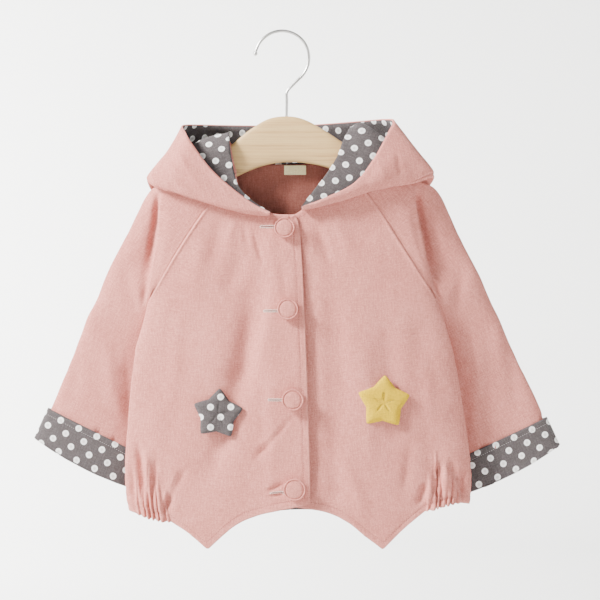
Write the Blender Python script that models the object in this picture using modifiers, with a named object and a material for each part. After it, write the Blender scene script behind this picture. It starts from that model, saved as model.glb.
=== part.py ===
# A child's hooded windbreaker with raglan sleeves, buttoned up on a wooden hanger.
# +X is the viewer's right, -Y faces the viewer, +Z is up, and the origin is the top of
# the inside of the hook. Tables are in millimetres, and objects are made in metres.
# Left and right in names are the wearer's, so the right front lies at -X.
import math
from collections import namedtuple

import bmesh
import bpy
from mathutils import Vector

MM = 0.001

# Cloth and seams
CLOTH = 1.2             # wall of the shell cloth
HOOD_CLOTH = 1.1        # wall of each of the hood's two layers
SEAM = 0.4              # open line between two pieces at a seam
SIDE_SEAM = 1.0         # the same at the side seams, whose rims lean in
ARM_SEAM = 0.5          # the same down the outside of the sleeves
LAYER = 0.25            # from the middle of the hood's wall to each layer
HOOD_ROUND = 3.4        # radius that the hood's bottom fold turns on
HOOD_LEAN = 0.35        # how much of the rows' slant that fold keeps
LAP_LIFT = 2.4          # how far the top front stands over the lower one
LAP_STEP = (-24.0, -9.0)    # where across the front it steps up
CENTRE_X = 4.9          # the middle of hanger, neck and back
FLATTEN = 0.8           # rounds a sleeve or cuff less than an ellipse

# Bare tab at the back of the neck, and dotted band inside the back hem
LABEL_X = (2.2, 26.2)
LABEL_Z = (-144.5, -155.0)
LABEL_OFF = 1.5         # from the middle of the back's cloth
FACING_SPAN = (0.3, 0.7)    # shares of the back's width
FACING_HEIGHT = 24.0

# Rows from neck to hem, and from neck to wrist
RAGLAN_ROWS = 7
BODY_ROWS = 16
SLEEVE_ROWS = 15
CUFF_ROW = 13.0
CUFF_GROW = 2.4         # how far the cuff stands off the sleeve
CUFF_EASE = 1.2         # and how much further at its two creases
HOOD_TURNS = 18
HOOD_STEPS = 12

# Gathers at the side hems
WAVES = 7
WAVE_DEPTH = 3.6
WAVE_HEIGHT = 62.0

# Buttons: centre and diameter of each, and the height of all
Button = namedtuple("Button", "x z diameter")
BUTTONS = (
    Button(2.8, -214.2, 22.2),
    Button(6.5, -302.0, 22.6),
    Button(11.7, -399.7, 23.5),
    Button(13.7, -496.0, 24.0),
)
BUTTON_HEIGHT = 7.0
BUTTON_SIDES = 18

# Padded stars: centre, tip radius, turn in degrees, and seat over the middle of the
# panel, more where the panel's folds dip under the star
Star = namedtuple("Star", "x z tip turn seat")
GREY_STAR = Star(-69.2, -415.3, 28.8, -5.0, 1.2)
YELLOW_STAR = Star(110.0, -402.5, 30.4, -3.0, 0.3)
STAR_VALLEY = 0.62
STAR_PUFF = 5.0

# Hook: radius of the wire, its circle, and the stem down into the wood
WIRE = 1.6
HOOK_RADIUS = 29.4
HOOK_CENTRE = (0.0, WIRE - HOOK_RADIUS)
HOOK_START = 171.0      # degrees, anticlockwise from +X
HOOK_END = -43.0
STEM_BEND = (5.2, -66.0)
STEM_FOOT = -91.2

# Wooden arms: height of top and bottom edge and half thickness, from end to end
Arm = namedtuple("Arm", "x top bottom half")
ARMS = (
    Arm(-129.0, -174.0, -180.0, 2.0),
    Arm(-126.0, -168.5, -184.0, 4.0),
    Arm(-112.0, -158.8, -180.5, 5.0),
    Arm(-84.0, -141.0, -170.5, 5.6),
    Arm(-56.0, -123.2, -160.5, 6.0),
    Arm(-36.0, -107.0, -151.5, 6.0),
    Arm(-15.5, -94.8, -144.5, 6.0),
    Arm(4.9, -91.6, -141.7, 6.0),
    Arm(24.0, -95.0, -142.6, 6.0),
    Arm(45.0, -106.2, -146.6, 6.0),
    Arm(67.6, -121.0, -155.0, 6.0),
    Arm(94.0, -137.5, -165.0, 5.6),
    Arm(122.0, -153.6, -175.0, 5.0),
    Arm(136.0, -163.0, -178.5, 4.0),
    Arm(139.0, -168.0, -174.5, 2.0),
)

# Where the front turns to the back, on each side: shoulder, sleeve fold, side seam
Edge = namedtuple("Edge", "z left right")
EDGES = (
    Edge(-112.0, -48.0, 59.0),
    Edge(-118.0, -56.0, 68.0),
    Edge(-135.0, -84.0, 95.5),
    Edge(-151.0, -111.0, 121.0),
    Edge(-164.0, -133.0, 143.0),
    Edge(-184.0, -133.0, 144.0),
    Edge(-214.0, -135.5, 150.0),
    Edge(-244.0, -139.5, 156.5),
    Edge(-270.0, -142.6, 162.0),
    Edge(-291.0, -145.0, 169.0),
    Edge(-315.0, -151.5, 177.7),
    Edge(-344.0, -160.0, 186.4),
    Edge(-380.0, -164.6, 193.2),
    Edge(-420.0, -168.2, 199.5),
    Edge(-457.0, -171.2, 205.0),
    Edge(-485.0, -171.6, 207.0),
    Edge(-509.0, -170.0, 206.0),
    Edge(-521.0, -167.4, 204.0),
    Edge(-565.0, -162.0, 198.0),
)
SIDE_FOOT = {"left": -521.0, "right": -514.0}

# Half depth of the body, and how square its sides are
Depth = namedtuple("Depth", "z front back square")
DEPTHS = (
    Depth(-110.0, 9.6, 9.6, 4.4),
    Depth(-150.0, 10.4, 10.4, 4.2),
    Depth(-185.0, 12.0, 11.5, 3.6),
    Depth(-235.0, 15.5, 14.0, 2.8),
    Depth(-290.0, 19.0, 17.0, 2.3),
    Depth(-360.0, 22.0, 19.0, 2.0),
    Depth(-440.0, 24.0, 20.0, 2.0),
    Depth(-570.0, 25.0, 21.0, 2.0),
)

# Largest folds of the body: a line, its half width, and how deep it sinks
Fold = namedtuple("Fold", "x0 z0 x1 z1 width sink")
FRONT_FOLDS = (
    Fold(-32.0, -290.0, -44.0, -374.0, 15.0, 3.2),
    Fold(-44.0, -374.0, -74.0, -470.0, 17.0, 4.0),
    Fold(-112.0, -330.0, -128.0, -490.0, 11.0, 1.8),
    Fold(52.0, -300.0, 58.0, -500.0, 13.0, 2.6),
    Fold(150.0, -330.0, 168.0, -490.0, 12.0, 2.2),
)
BACK_FOLDS = (
    Fold(-60.0, -290.0, -78.0, -500.0, 17.0, 3.4),
    Fold(10.0, -310.0, 22.0, -505.0, 15.0, 2.6),
    Fold(92.0, -290.0, 116.0, -500.0, 17.0, 3.2),
)

# Seams and free edges in the plane of the front, as x and z
RAGLAN = {
    "front_right": ((-50.0, -153.0), (-79.6, -187.5), (-113.0, -237.0), (-144.6, -291.0)),
    "front_left": ((61.0, -142.0), (95.9, -179.0), (134.0, -237.0), (168.6, -291.0)),
    "back_right": ((-44.0, -139.0), (-80.0, -184.0), (-113.0, -236.0), (-144.6, -291.0)),
    "back_left": ((54.0, -138.0), (94.0, -182.0), (134.0, -236.0), (168.6, -291.0)),
}
LAP_EDGE = (
    (14.5, -199.5), (19.0, -214.0), (22.0, -252.0), (24.2, -296.0), (26.0, -338.0),
    (27.6, -380.0), (29.0, -422.0), (30.2, -466.0), (31.1, -512.6),
)
UNDERLAP_EDGE = ((-6.0, -202.0), (-5.0, -300.0), (-3.0, -410.0), (-1.0, -514.0))
NECK_RIGHT = ((-50.0, -153.0), (-46.0, -170.0), (-32.0, -188.0), (-10.0, -198.0), (14.5, -199.5))
NECK_LEFT = ((-6.0, -202.0), (14.0, -199.0), (32.0, -184.0), (48.0, -163.0), (61.0, -142.0))
NECK_BACK = ((-44.0, -139.0), (-22.0, -142.6), (4.9, -143.6), (31.0, -142.2), (54.0, -138.0))

# Hems run in three stretches: gathers, in to the point, and out of it
HEM_RIGHT = (
    ((-167.4, -521.0), (-152.0, -525.5), (-136.0, -529.0), (-119.9, -532.0)),
    ((-119.9, -532.0), (-101.4, -543.9), (-80.2, -561.7)),
    ((-80.2, -561.7), (-51.2, -536.3), (-26.2, -524.8), (1.0, -518.4), (31.1, -512.6)),
)
HEM_LEFT = (
    ((204.0, -514.0), (187.0, -512.0), (170.0, -515.6), (154.0, -520.5)),
    ((154.0, -520.5), (131.0, -539.5), (108.5, -561.7)),
    ((108.5, -561.7), (89.4, -547.2), (69.8, -531.5), (44.7, -520.4), (-1.0, -514.0)),
)
HEM_BACK_MIDDLE = (
    (-80.2, -561.7), (-51.2, -538.3), (-22.0, -527.0), (14.0, -522.4), (48.0, -524.5),
    (74.0, -535.5), (108.5, -561.7),
)
HEM_STOPS = (0.19, 0.36)

# Shares of a panel's width where its columns stand
FRONT_COLUMNS = (0.0, 0.012, 0.04, 0.09, 0.14, 0.19, 0.275, 0.36, 0.48, 0.6, 0.72, 0.85, 1.0)
BACK_STOPS = (0.1, 0.24)
BACK_COLUMNS = (0.0, 0.006, 0.02, 0.045, 0.072, 0.1, 0.17, 0.24, 0.31, 0.39, 0.465, 0.535)
WAVE_FROM = 0.04        # share of the gathered stretch left smooth beside the side seam
WAVE_CUTS = 11
WAVE_ROWS = 4

# Sleeves: outer line, and the fold at the front of the shoulder or, under the arm,
# the inner line. tuck is the fold's reach inward, middle the depth of the sleeve's own
# middle, inner that of its inner line, and half its half thickness.
Sleeve = namedtuple("Sleeve", "row outer_x outer_z fold_x fold_z tuck middle inner half")
SLEEVES = {
    "right": (
        Sleeve(0, -57.0, -118.6, -53.5, -135.0, 0.0, 0.0, 0.0, 9.4),
        Sleeve(3, -112.5, -152.0, -104.0, -172.0, 0.0, 0.0, 0.0, 9.6),
        Sleeve(4, -133.5, -165.5, -126.5, -178.0, 0.0, 3.0, 0.0, 8.6),
        Sleeve(5, -149.5, -180.5, -133.5, -199.0, 5.5, 11.2, 0.0, 7.4),
        Sleeve(6, -169.0, -217.5, -137.5, -239.0, 5.5, 12.6, 0.0, 7.4),
        Sleeve(7, -189.0, -257.0, -147.4, -291.2, 0.0, 12.6, 2.6, 7.0),
        Sleeve(8, -202.0, -289.0, -147.4, -313.0, 0.0, 15.4, 11.0, 7.0),
        Sleeve(9, -213.0, -313.5, -148.6, -342.0, 0.0, 18.0, 15.5, 7.2),
        Sleeve(11, -234.0, -364.0, -150.6, -404.0, 0.0, 20.5, 20.0, 7.6),
        Sleeve(13, -255.1, -413.4, -153.0, -464.0, 0.0, 21.5, 21.5, 8.2),
        Sleeve(15, -267.5, -441.5, -165.0, -494.0, 0.0, 22.0, 22.0, 8.4),
    ),
    "left": (
        Sleeve(0, 68.5, -118.0, 65.0, -128.0, 0.0, 0.0, 0.0, 9.4),
        Sleeve(3, 123.5, -151.0, 115.0, -167.0, 0.0, 0.0, 0.0, 9.6),
        Sleeve(4, 146.0, -162.0, 138.0, -174.0, 0.0, 3.0, 0.0, 8.6),
        Sleeve(5, 169.5, -172.5, 146.0, -197.0, 5.5, 11.2, 0.0, 7.4),
        Sleeve(6, 191.0, -217.0, 155.5, -239.0, 5.5, 12.6, 0.0, 7.4),
        Sleeve(7, 212.0, -257.5, 171.6, -291.2, 0.0, 12.6, 2.6, 7.0),
        Sleeve(8, 226.0, -288.0, 173.0, -313.0, 0.0, 15.4, 11.0, 7.0),
        Sleeve(9, 238.5, -316.0, 174.5, -342.0, 0.0, 18.0, 15.5, 7.2),
        Sleeve(11, 264.0, -370.0, 181.0, -406.0, 0.0, 20.5, 20.0, 7.6),
        Sleeve(13, 288.9, -423.5, 187.0, -471.0, 0.0, 21.5, 21.5, 8.2),
        Sleeve(15, 300.5, -449.5, 198.5, -501.0, 0.0, 22.0, 22.0, 8.4),
    ),
}
FRONT_KEYS = (0.0, 0.12, 0.25, 0.38, 0.52, 0.75, 1.0)
BACK_KEYS = (1.22, 1.5, 1.84, 2.0)
FOLD_EDGE = -2.4        # depth of the shoulder fold's edge
# From that edge the cloth turns in and back, then runs on out: shares of the way out
# where there is no fold and where there is, of the tuck, and depth off the sleeve's front
Tuck = namedtuple("Tuck", "plain out tuck deep")
TUCK_STEPS = (
    Tuck(0.2, 0.0, 1.0, -1.2),
    Tuck(0.45, 0.1, 0.35, 0.9),
    Tuck(0.75, 0.6, 0.0, 0.0),
)
UNDERARM_GAP = 1.6
REAR_GAP = 1.5          # the back seam opens by this towards the armhole
FACING_LAYER = 2.2      # from the middle of the back to the middle of its facing

# Hood: each row crosses the slouched hood from the neck seam, under, to the fold it
# hangs by, then over, to its free edge. Rows run from the front round to the back.
Hood = namedtuple("Hood", "neck under fold over edge")
HOODS = {
    "right": (
        Hood((-12, -17.9, -192.6), (-12.3, -17.9, -195), (-12.6, -21.3, -201.0),
             (-12.8, -24.9, -196.5), (-13, -24.9, -194.8)),
        Hood((-33, -16.0, -183.5), (-35, -16.3, -188.5), (-38, -20.2, -197.6),
             (-37.5, -24.8, -190), (-36.5, -24.6, -185.3)),
        Hood((-48, -15.6, -166), (-62, -17, -180), (-77, -20.6, -187),
             (-77, -25.6, -170), (-74, -26.4, -154.2)),
        Hood((-54.5, -13.6, -138), (-84, -16, -156), (-111, -18.6, -176),
             (-107, -25, -150), (-98.6, -22, -122)),
        Hood((-56.8, -11.6, -120), (-94, -12.6, -138), (-135, -13.6, -167.6),
             (-120, -17, -139), (-105.5, -12, -110)),
        Hood((-58, 0.0, -112.8), (-92, -1.0, -121), (-145.0, -2.5, -160.5),
             (-124.5, -4, -131), (-109, 0.0, -103.4)),
        Hood((-54, 12.6, -121), (-92, 15, -140), (-133, 25, -181),
             (-124, 33, -142), (-103, 20, -99.6)),
        Hood((-37, 15, -136.4), (-64, 20, -176), (-88, 36, -222),
             (-86, 50, -160), (-66, 37, -98.8)),
        Hood((-17, 15.4, -140.6), (-31, 21.5, -192), (-43, 40, -247),
             (-41, 57, -172), (-30, 43, -98.8)),
        Hood((4.9, 15.6, -141.6), (4.9, 22.5, -198), (4.9, 42, -256),
             (4.9, 60, -176), (4.9, 45.5, -99)),
    ),
    "left": (
        Hood((21, -15.4, -188.0), (21.2, -15.4, -190.6), (21.4, -18.8, -196.4),
             (21.6, -22.4, -192.0), (21.8, -22.4, -190.4)),
        Hood((33, -15.2, -175), (38, -15.6, -181), (44, -19.4, -189.6),
             (46, -24.8, -184.6), (46, -25, -182.8)),
        Hood((47, -15.6, -157), (62, -17, -170), (79, -20.6, -179),
             (80, -25.6, -172), (78.5, -26, -166.4)),
        Hood((59.5, -13.6, -137), (86, -16, -150), (112, -18.6, -169.4),
             (108, -25, -154), (99.7, -23, -140)),
        Hood((66.5, -11.6, -118.6), (96, -12.6, -124), (141, -13.6, -162.6),
             (130, -17, -136), (115, -12, -112)),
        Hood((69.5, 0.0, -111.6), (94, -2.0, -106), (163.0, -2.5, -154.0),
             (145.5, -4, -128), (121.5, 0.0, -97.4)),
        Hood((65, 12.6, -120), (102, 15, -134), (148, 25, -176),
             (139, 33, -137), (113, 20, -93.6)),
        Hood((47, 15, -136), (74, 20, -172), (98, 36, -219),
             (96, 50, -156), (78, 37, -95)),
        Hood((27, 15.4, -140.4), (41, 21.5, -190), (53, 40, -246),
             (51, 57, -170), (40, 43, -97.4)),
        Hood((4.9, 15.6, -141.6), (4.9, 22.5, -198), (4.9, 42, -256),
             (4.9, 60, -176), (4.9, 45.5, -99)),
    ),
}

# Colours of the finishes, red, green and blue
PINK = (0.72, 0.42, 0.38)
DOTTED = (0.15, 0.13, 0.135)
YELLOW = (0.84, 0.67, 0.03)
CREAM = (0.58, 0.52, 0.32)
BEECH = (0.74, 0.60, 0.38)
STEEL = (0.55, 0.55, 0.54)


def clear_scene():
    for item in list(bpy.data.objects):
        bpy.data.objects.remove(item, do_unlink=True)


def make_material(name, colour, roughness, metallic=0.0):
    material = bpy.data.materials.new(name)
    material.use_nodes = True
    shader = material.node_tree.nodes["Principled BSDF"]
    shader.inputs["Base Color"].default_value = (*colour, 1.0)
    shader.inputs["Roughness"].default_value = roughness
    shader.inputs["Metallic"].default_value = metallic
    return material


def add_object(name, data, collection, finish):
    item = bpy.data.objects.new(name, data)
    item.data.materials.append(make_material(name, *finish))
    collection.objects.link(item)
    return item


def mix(a, b, share):
    return a + (b - a) * share


def ease(value, low, high):
    share = min(max((value - low) / (high - low), 0.0), 1.0)
    return share * share * (3.0 - 2.0 * share)


def along(points, share):
    # the smooth curve through points, at a share of its stretches
    points = [Vector(p) for p in points]
    spans = len(points) - 1
    index = min(int(share * spans), spans - 1)
    f = share * spans - index
    p1, p2 = points[index], points[index + 1]
    p0 = points[index - 1] if index > 0 else p1 * 2.0 - p2
    p3 = points[index + 2] if index + 2 <= spans else p2 * 2.0 - p1
    return 0.5 * (
        p1 * 2.0
        + (p2 - p0) * f
        + (p0 * 2.0 - p1 * 5.0 + p2 * 4.0 - p3) * f * f
        + (p1 * 3.0 - p0 - p2 * 3.0 + p3) * f ** 3
    )


def stretches(runs, stops, share):
    # several smooth curves end to end, which meet at sharp corners
    marks = (0.0, *stops, 1.0)
    for run, low, high in zip(runs, marks, marks[1:]):
        if share <= high:
            return along(run, (share - low) / (high - low))
    return along(runs[-1], 1.0)


def row_at(table, key):
    # one row read off a table, between its rows in proportion
    rising = table[-1][0] > table[0][0]
    for a, b in zip(table, table[1:]):
        if (key <= b[0]) == rising or b is table[-1]:
            share = min(max((key - a[0]) / (b[0] - a[0]), 0.0), 1.0)
            return type(a)(*(mix(p, q, share) for p, q in zip(a, b)))
    return table[-1]


def fold_sink(folds, x, z):
    total = 0.0
    for fold in folds:
        start, end = Vector((fold.x0, fold.z0)), Vector((fold.x1, fold.z1))
        run = end - start
        share = (Vector((x, z)) - start).dot(run) / run.length_squared
        near = start + run * min(max(share, 0.0), 1.0)
        off = (Vector((x, z)) - near).length
        total += fold.sink * math.exp(-((off / fold.width) ** 2))
    return total


def bulge(x, z, square):
    edge = row_at(EDGES, z)
    across = abs(2.0 * (x - edge.left) / (edge.right - edge.left) - 1.0)
    return max(1.0 - min(across, 1.0) ** square, 0.0) ** (1.0 / square)


def front_y(x, z):
    depth = row_at(DEPTHS, z)
    share = bulge(x, z, depth.square)
    return -SIDE_SEAM / 2 - depth.front * share + fold_sink(FRONT_FOLDS, x, z) * share


def back_y(x, z):
    depth = row_at(DEPTHS, z)
    share = bulge(x, z, depth.square)
    return SIDE_SEAM / 2 + depth.back * share - fold_sink(BACK_FOLDS, x, z) * share


def lap_y(x, z):
    # the top front, which steps over the lower one
    return front_y(x, z) - LAP_LIFT * ease(x, *LAP_STEP)


def coons(top, bottom, left, right, u, v):
    corners = (
        top(0.0) * (1 - u) * (1 - v) + top(1.0) * u * (1 - v)
        + bottom(0.0) * (1 - u) * v + bottom(1.0) * u * v
    )
    return (
        top(u) * (1 - v) + bottom(u) * v + left(v) * (1 - u) + right(v) * u - corners
    )


def side_line(raglan, side):
    # raglan seam down to the armhole, then the side seam
    split = RAGLAN_ROWS / BODY_ROWS

    def line(v):
        if v <= split:
            return along(RAGLAN[raglan], v / split)
        top = RAGLAN[raglan][-1][1]
        z = mix(top, SIDE_FOOT[side], (v - split) / (1.0 - split))
        return Vector((getattr(row_at(EDGES, z), side), z))

    return line


def make_grid(columns, rows):
    # a flat grid whose x and y are the shares of width and height
    mesh = bmesh.new()
    bmesh.ops.create_grid(
        mesh, x_segments=len(columns) - 1, y_segments=len(rows) - 1, size=0.5
    )
    for vert in mesh.verts:
        u = columns[round((vert.co.x + 0.5) * (len(columns) - 1))]
        v = rows[round((vert.co.y + 0.5) * (len(rows) - 1))]
        vert.co = Vector((u, v, 0.0))
    return mesh


def refine_gathers(mesh, spans):
    # more columns in the gathered stretches of the hem
    low_row = 1.0 - WAVE_ROWS / BODY_ROWS - 1e-4
    picked = []
    for edge in mesh.edges:
        a, b = (vert.co for vert in edge.verts)
        level = abs(a.y - b.y) < 1e-6 and a.y > low_row
        inside = any(
            min(a.x, b.x) > low - 1e-4 and max(a.x, b.x) < high + 1e-4
            for low, high in spans
        )
        if level and inside:
            picked.append(edge)
    bmesh.ops.subdivide_edges(mesh, edges=picked, cuts=WAVE_CUTS, use_grid_fill=True)


def wave(share, height):
    # outward only, none beside the side seam, and dying out above the hem
    if share <= 0.0 or share >= 1.0 or height > WAVE_HEIGHT:
        return 0.0
    fade = (1.0 - height / WAVE_HEIGHT) ** 1.3
    window = math.sin(math.pi * share) ** 0.5
    return WAVE_DEPTH * fade * window * (0.5 - 0.5 * math.cos(2 * math.pi * WAVES * share))


def finish_wall(mesh, name, collection, finish, thickness, offset=0.0):
    for vert in mesh.verts:
        vert.co *= MM
    data = bpy.data.meshes.new(name)
    mesh.to_mesh(data)
    mesh.free()
    data.shade_smooth()
    item = add_object(name, data, collection, finish)
    wall = item.modifiers.new("wall", "SOLIDIFY")
    wall.thickness = thickness * MM
    wall.offset = offset
    wall.use_even_offset = False
    return item


def body_rows():
    return [row / BODY_ROWS for row in range(BODY_ROWS + 1)]


def front_place(side):
    # the right front runs from its side seam to the lap, the left one likewise
    if side == "right":
        hem, neck, middle, sign = HEM_RIGHT, NECK_RIGHT, LAP_EDGE, 1.0
        line, depth = side_line("front_right", "left"), lap_y
    else:
        hem, neck, middle, sign = HEM_LEFT, NECK_LEFT[::-1], UNDERLAP_EDGE, -1.0
        line, depth = side_line("front_left", "right"), front_y

    def place(u, v):
        flat = coons(
            lambda s: along(neck, s),
            lambda s: stretches(hem, HEM_STOPS, s),
            line,
            lambda s: along(middle, s),
            u,
            v,
        )
        foot = stretches(hem, HEM_STOPS, u)
        share = (u - WAVE_FROM) / (HEM_STOPS[0] - WAVE_FROM)
        x = flat.x + sign * SEAM / 2 * (1.0 - u)
        y = depth(flat.x, flat.y) - wave(share, flat.y - foot.y)
        return Vector((x, y, flat.y))

    return place


def make_front(side, collection):
    place = front_place(side)
    mesh = make_grid(FRONT_COLUMNS, body_rows())
    refine_gathers(mesh, [(WAVE_FROM, HEM_STOPS[0])])
    for vert in mesh.verts:
        vert.co = place(vert.co.x, vert.co.y)
    return finish_wall(mesh, f"front_{side}", collection, (PINK, 0.85), CLOTH)


def back_hem(u):
    first, second = BACK_STOPS
    if u > 1.0 - second:
        return stretches(HEM_LEFT[:2], (first / second,), (1.0 - u) / second)
    if u < second:
        return stretches(HEM_RIGHT[:2], (first / second,), u / second)
    return along(HEM_BACK_MIDDLE, (u - second) / (1.0 - 2.0 * second))


def back_place(u, v):
    flat = coons(
        lambda s: along(NECK_BACK, s),
        back_hem,
        side_line("back_right", "left"),
        side_line("back_left", "right"),
        u,
        v,
    )
    nearest = min(u, 1.0 - u)
    share = (nearest - WAVE_FROM / 2) / (BACK_STOPS[0] - WAVE_FROM / 2)
    height = flat.y - back_hem(u).y
    x = flat.x + SEAM / 2 * (1.0 - 2.0 * u)
    return Vector((x, back_y(flat.x, flat.y) + wave(share, height), flat.y))


def make_back(collection):
    half = list(BACK_COLUMNS)
    columns = half[:-1] + [1.0 - u for u in half[-2::-1]]
    mesh = make_grid(columns, body_rows())
    gathered = (BACK_COLUMNS[2], BACK_STOPS[0])
    refine_gathers(mesh, [gathered, (1.0 - gathered[1], 1.0 - gathered[0])])
    for vert in mesh.verts:
        vert.co = back_place(vert.co.x, vert.co.y)
    return finish_wall(mesh, "back", collection, (PINK, 0.85), CLOTH)


def make_facing(collection):
    # dotted band inside the back hem, between its two points
    columns = [mix(*FACING_SPAN, step / 14) for step in range(15)]
    mesh = make_grid(columns, [0.0, 0.5, 1.0])
    for vert in mesh.verts:
        foot = back_hem(vert.co.x)
        z = foot.y + FACING_HEIGHT * (1.0 - vert.co.y)
        y = back_y(foot.x, z) - FACING_LAYER
        vert.co = Vector((foot.x, y, z))
    return finish_wall(mesh, "hem_facing_back", collection, (DOTTED, 0.85), CLOTH)


def flattened(angle):
    return math.copysign(abs(math.sin(angle)) ** FLATTEN, math.sin(angle))


def sleeve_ring(side, row):
    # key points round the sleeve, from the front seam to the back one
    here = row_at(SLEEVES[side], row)
    outer = Vector((here.outer_x, here.outer_z))
    fold = Vector((here.fold_x, here.fold_z))
    keys = []
    if row >= RAGLAN_ROWS:
        for key in (*FRONT_KEYS, *BACK_KEYS):
            angle = math.pi * key
            across = 0.5 - 0.5 * math.cos(angle)
            flat = fold.lerp(outer, across)
            middle = here.middle + (here.inner - here.middle) * (1.0 - across) ** 2
            y = middle - here.half * flattened(angle)
            y += UNDERARM_GAP * (key - 1.0) / 2 * abs(key - 1.0)
            keys.append(Vector((flat.x, y, flat.y)))
        return keys
    own = ease(row, 3.9, 5.2)
    gap = SEAM / 2 * (1.0 if side == "right" else -1.0)
    inward = Vector((here.tuck * (1.0 if side == "right" else -1.0), 0.0))
    seam = along(RAGLAN[f"front_{side}"], row / RAGLAN_ROWS)
    rear = along(RAGLAN[f"back_{side}"], row / RAGLAN_ROWS)
    keys.append(Vector((seam.x - gap, front_y(*seam), seam.y)))
    middle = seam.lerp(fold, 0.5)
    keys.append(Vector((middle.x, front_y(*middle), middle.y)))
    keys.append(Vector((fold.x, mix(front_y(*fold), FOLD_EDGE, own), fold.y)))
    for step in TUCK_STEPS:
        flat = fold.lerp(outer, mix(step.plain, step.out, own)) + inward * step.tuck
        deep = here.middle - here.half + step.deep
        keys.append(Vector((flat.x, mix(front_y(*flat), deep, own), flat.y)))
    keys.append(Vector((outer.x, mix(0.0, here.middle, own), outer.y)))
    for share in (0.14, 0.42, 0.72):
        flat = outer.lerp(rear, share)
        deep = mix(here.middle + here.half, back_y(*rear), ease(share, 0.3, 1.0))
        keys.append(Vector((flat.x, mix(back_y(*flat), deep, own), flat.y)))
    rear_gap = gap * (1.0 + (REAR_GAP * 2 / SEAM) * ease(row, 3.0, 6.0))
    keys.append(Vector((rear.x - rear_gap, back_y(*rear) + REAR_GAP * own, rear.y)))
    return keys


def make_sleeve(side, half, collection):
    # the front or the back of a sleeve, which meet in a seam just behind its outer line
    steps = 2 * (len(FRONT_KEYS) + len(BACK_KEYS) - 1)
    seam = 2 * len(FRONT_KEYS)
    first, last = (0, seam) if half == "front" else (seam, steps)
    mesh = make_grid(
        [step / steps for step in range(first, last + 1)],
        [row / SLEEVE_ROWS for row in range(SLEEVE_ROWS + 1)],
    )
    aside = -0.004 if half == "front" else 0.004
    for vert in mesh.verts:
        share, ring = vert.co.x, sleeve_ring(side, vert.co.y * SLEEVE_ROWS)
        vert.co = along(ring, share)
        if abs(share - seam / steps) < 0.001:
            inside = along(ring, share + aside)
            vert.co += (inside - vert.co).normalized() * ARM_SEAM / 2
    return finish_wall(mesh, f"sleeve_{half}_{side}", collection, (PINK, 0.85), CLOTH)


def make_cuff(side, collection):
    # a closed band turned back over the sleeve's end
    rows = (CUFF_ROW - 0.05, CUFF_ROW + 0.9, CUFF_ROW + 1.6, SLEEVE_ROWS + 0.3)
    mesh = bmesh.new()
    bmesh.ops.create_cone(
        mesh, cap_ends=False, segments=24, radius1=1.0, radius2=1.0, depth=1.0
    )
    upright = [e for e in mesh.edges if abs(e.verts[0].co.z - e.verts[1].co.z) > 0.5]
    bmesh.ops.subdivide_edges(mesh, edges=upright, cuts=len(rows) - 2)
    last = SLEEVES[side][-1]
    before = row_at(SLEEVES[side], CUFF_ROW)
    for vert in mesh.verts:
        level = round((0.5 - vert.co.z) * (len(rows) - 1))
        row = rows[level]
        angle = math.atan2(vert.co.y, vert.co.x)
        here = row_at(SLEEVES[side], row)
        over = max(row - SLEEVE_ROWS, 0.0) / (SLEEVE_ROWS - CUFF_ROW)
        run = Vector((last.outer_x - before.outer_x, last.outer_z - before.outer_z)) * over
        outer = Vector((here.outer_x, here.outer_z)) + run
        inner = Vector((here.fold_x, here.fold_z)) + run
        grow = CUFF_GROW + 0.5 * level / (len(rows) - 1)
        spread = (outer - inner).normalized() * (grow + CUFF_EASE)
        across = 0.5 - 0.5 * math.cos(angle)
        flat = (inner - spread).lerp(outer + spread, across)
        deep = here.middle - (here.half + grow) * flattened(angle)
        vert.co = Vector((flat.x, deep, flat.y))
    bmesh.ops.recalc_face_normals(mesh, faces=mesh.faces)
    return finish_wall(mesh, f"cuff_{side}", collection, (DOTTED, 0.85), CLOTH)


def hood_point(side, turn, step):
    rows = HOODS[side]
    neck, under, fold, over, edge = (
        along([getattr(row, column) for row in rows], turn) for column in Hood._fields
    )
    down = (fold - (under + over) / 2).normalized()
    across = over - under
    across = Vector((HOOD_LEAN * across.x, across.y, HOOD_LEAN * across.z))
    across = (across - down * across.dot(down)).normalized()
    inner = fold - (down + across) * HOOD_ROUND
    outer = fold - (down - across) * HOOD_ROUND
    return along((neck, under, inner, fold, outer, over, edge), step)


def make_hood(side, layer, collection):
    outward = layer == "shell"
    mesh = make_grid(
        [turn / HOOD_TURNS for turn in range(HOOD_TURNS + 1)],
        [step / HOOD_STEPS for step in range(HOOD_STEPS + 1)],
    )
    middle_gap = SIDE_SEAM / 2 * (-1.0 if side == "right" else 1.0)
    for vert in mesh.verts:
        turn, step = vert.co.x, vert.co.y
        vert.co = hood_point(side, turn, step)
        vert.co.x += middle_gap * turn ** 6
    bmesh.ops.recalc_face_normals(mesh, faces=mesh.faces)
    mesh.normal_update()
    # the lining faces into the trough between the two halves of each row
    probe = min(mesh.verts, key=lambda vert: (vert.co - hood_point(side, 1.0, 0.25)).length)
    inward = 1.0 if probe.normal.y > 0.0 else -1.0
    way = -inward if outward else inward
    normals = {vert: vert.normal.copy() for vert in mesh.verts}
    for vert in mesh.verts:
        vert.co += normals[vert] * (way * LAYER)
    finish = (PINK, 0.85) if outward else (DOTTED, 0.85)
    name = f"hood_{layer}_{side}"
    return finish_wall(mesh, name, collection, finish, HOOD_CLOTH, way)


def make_label(collection):
    # a bare tab sewn in at the back of the neck
    mesh = make_grid([step / 4 for step in range(5)], [0.0, 0.5, 1.0])
    for vert in mesh.verts:
        x, z = mix(*LABEL_X, vert.co.x), mix(*LABEL_Z, vert.co.y)
        vert.co = Vector((x, back_y(x, z) - LABEL_OFF, z))
    return finish_wall(mesh, "neck_label", collection, (CREAM, 0.8), 1.0)


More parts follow.
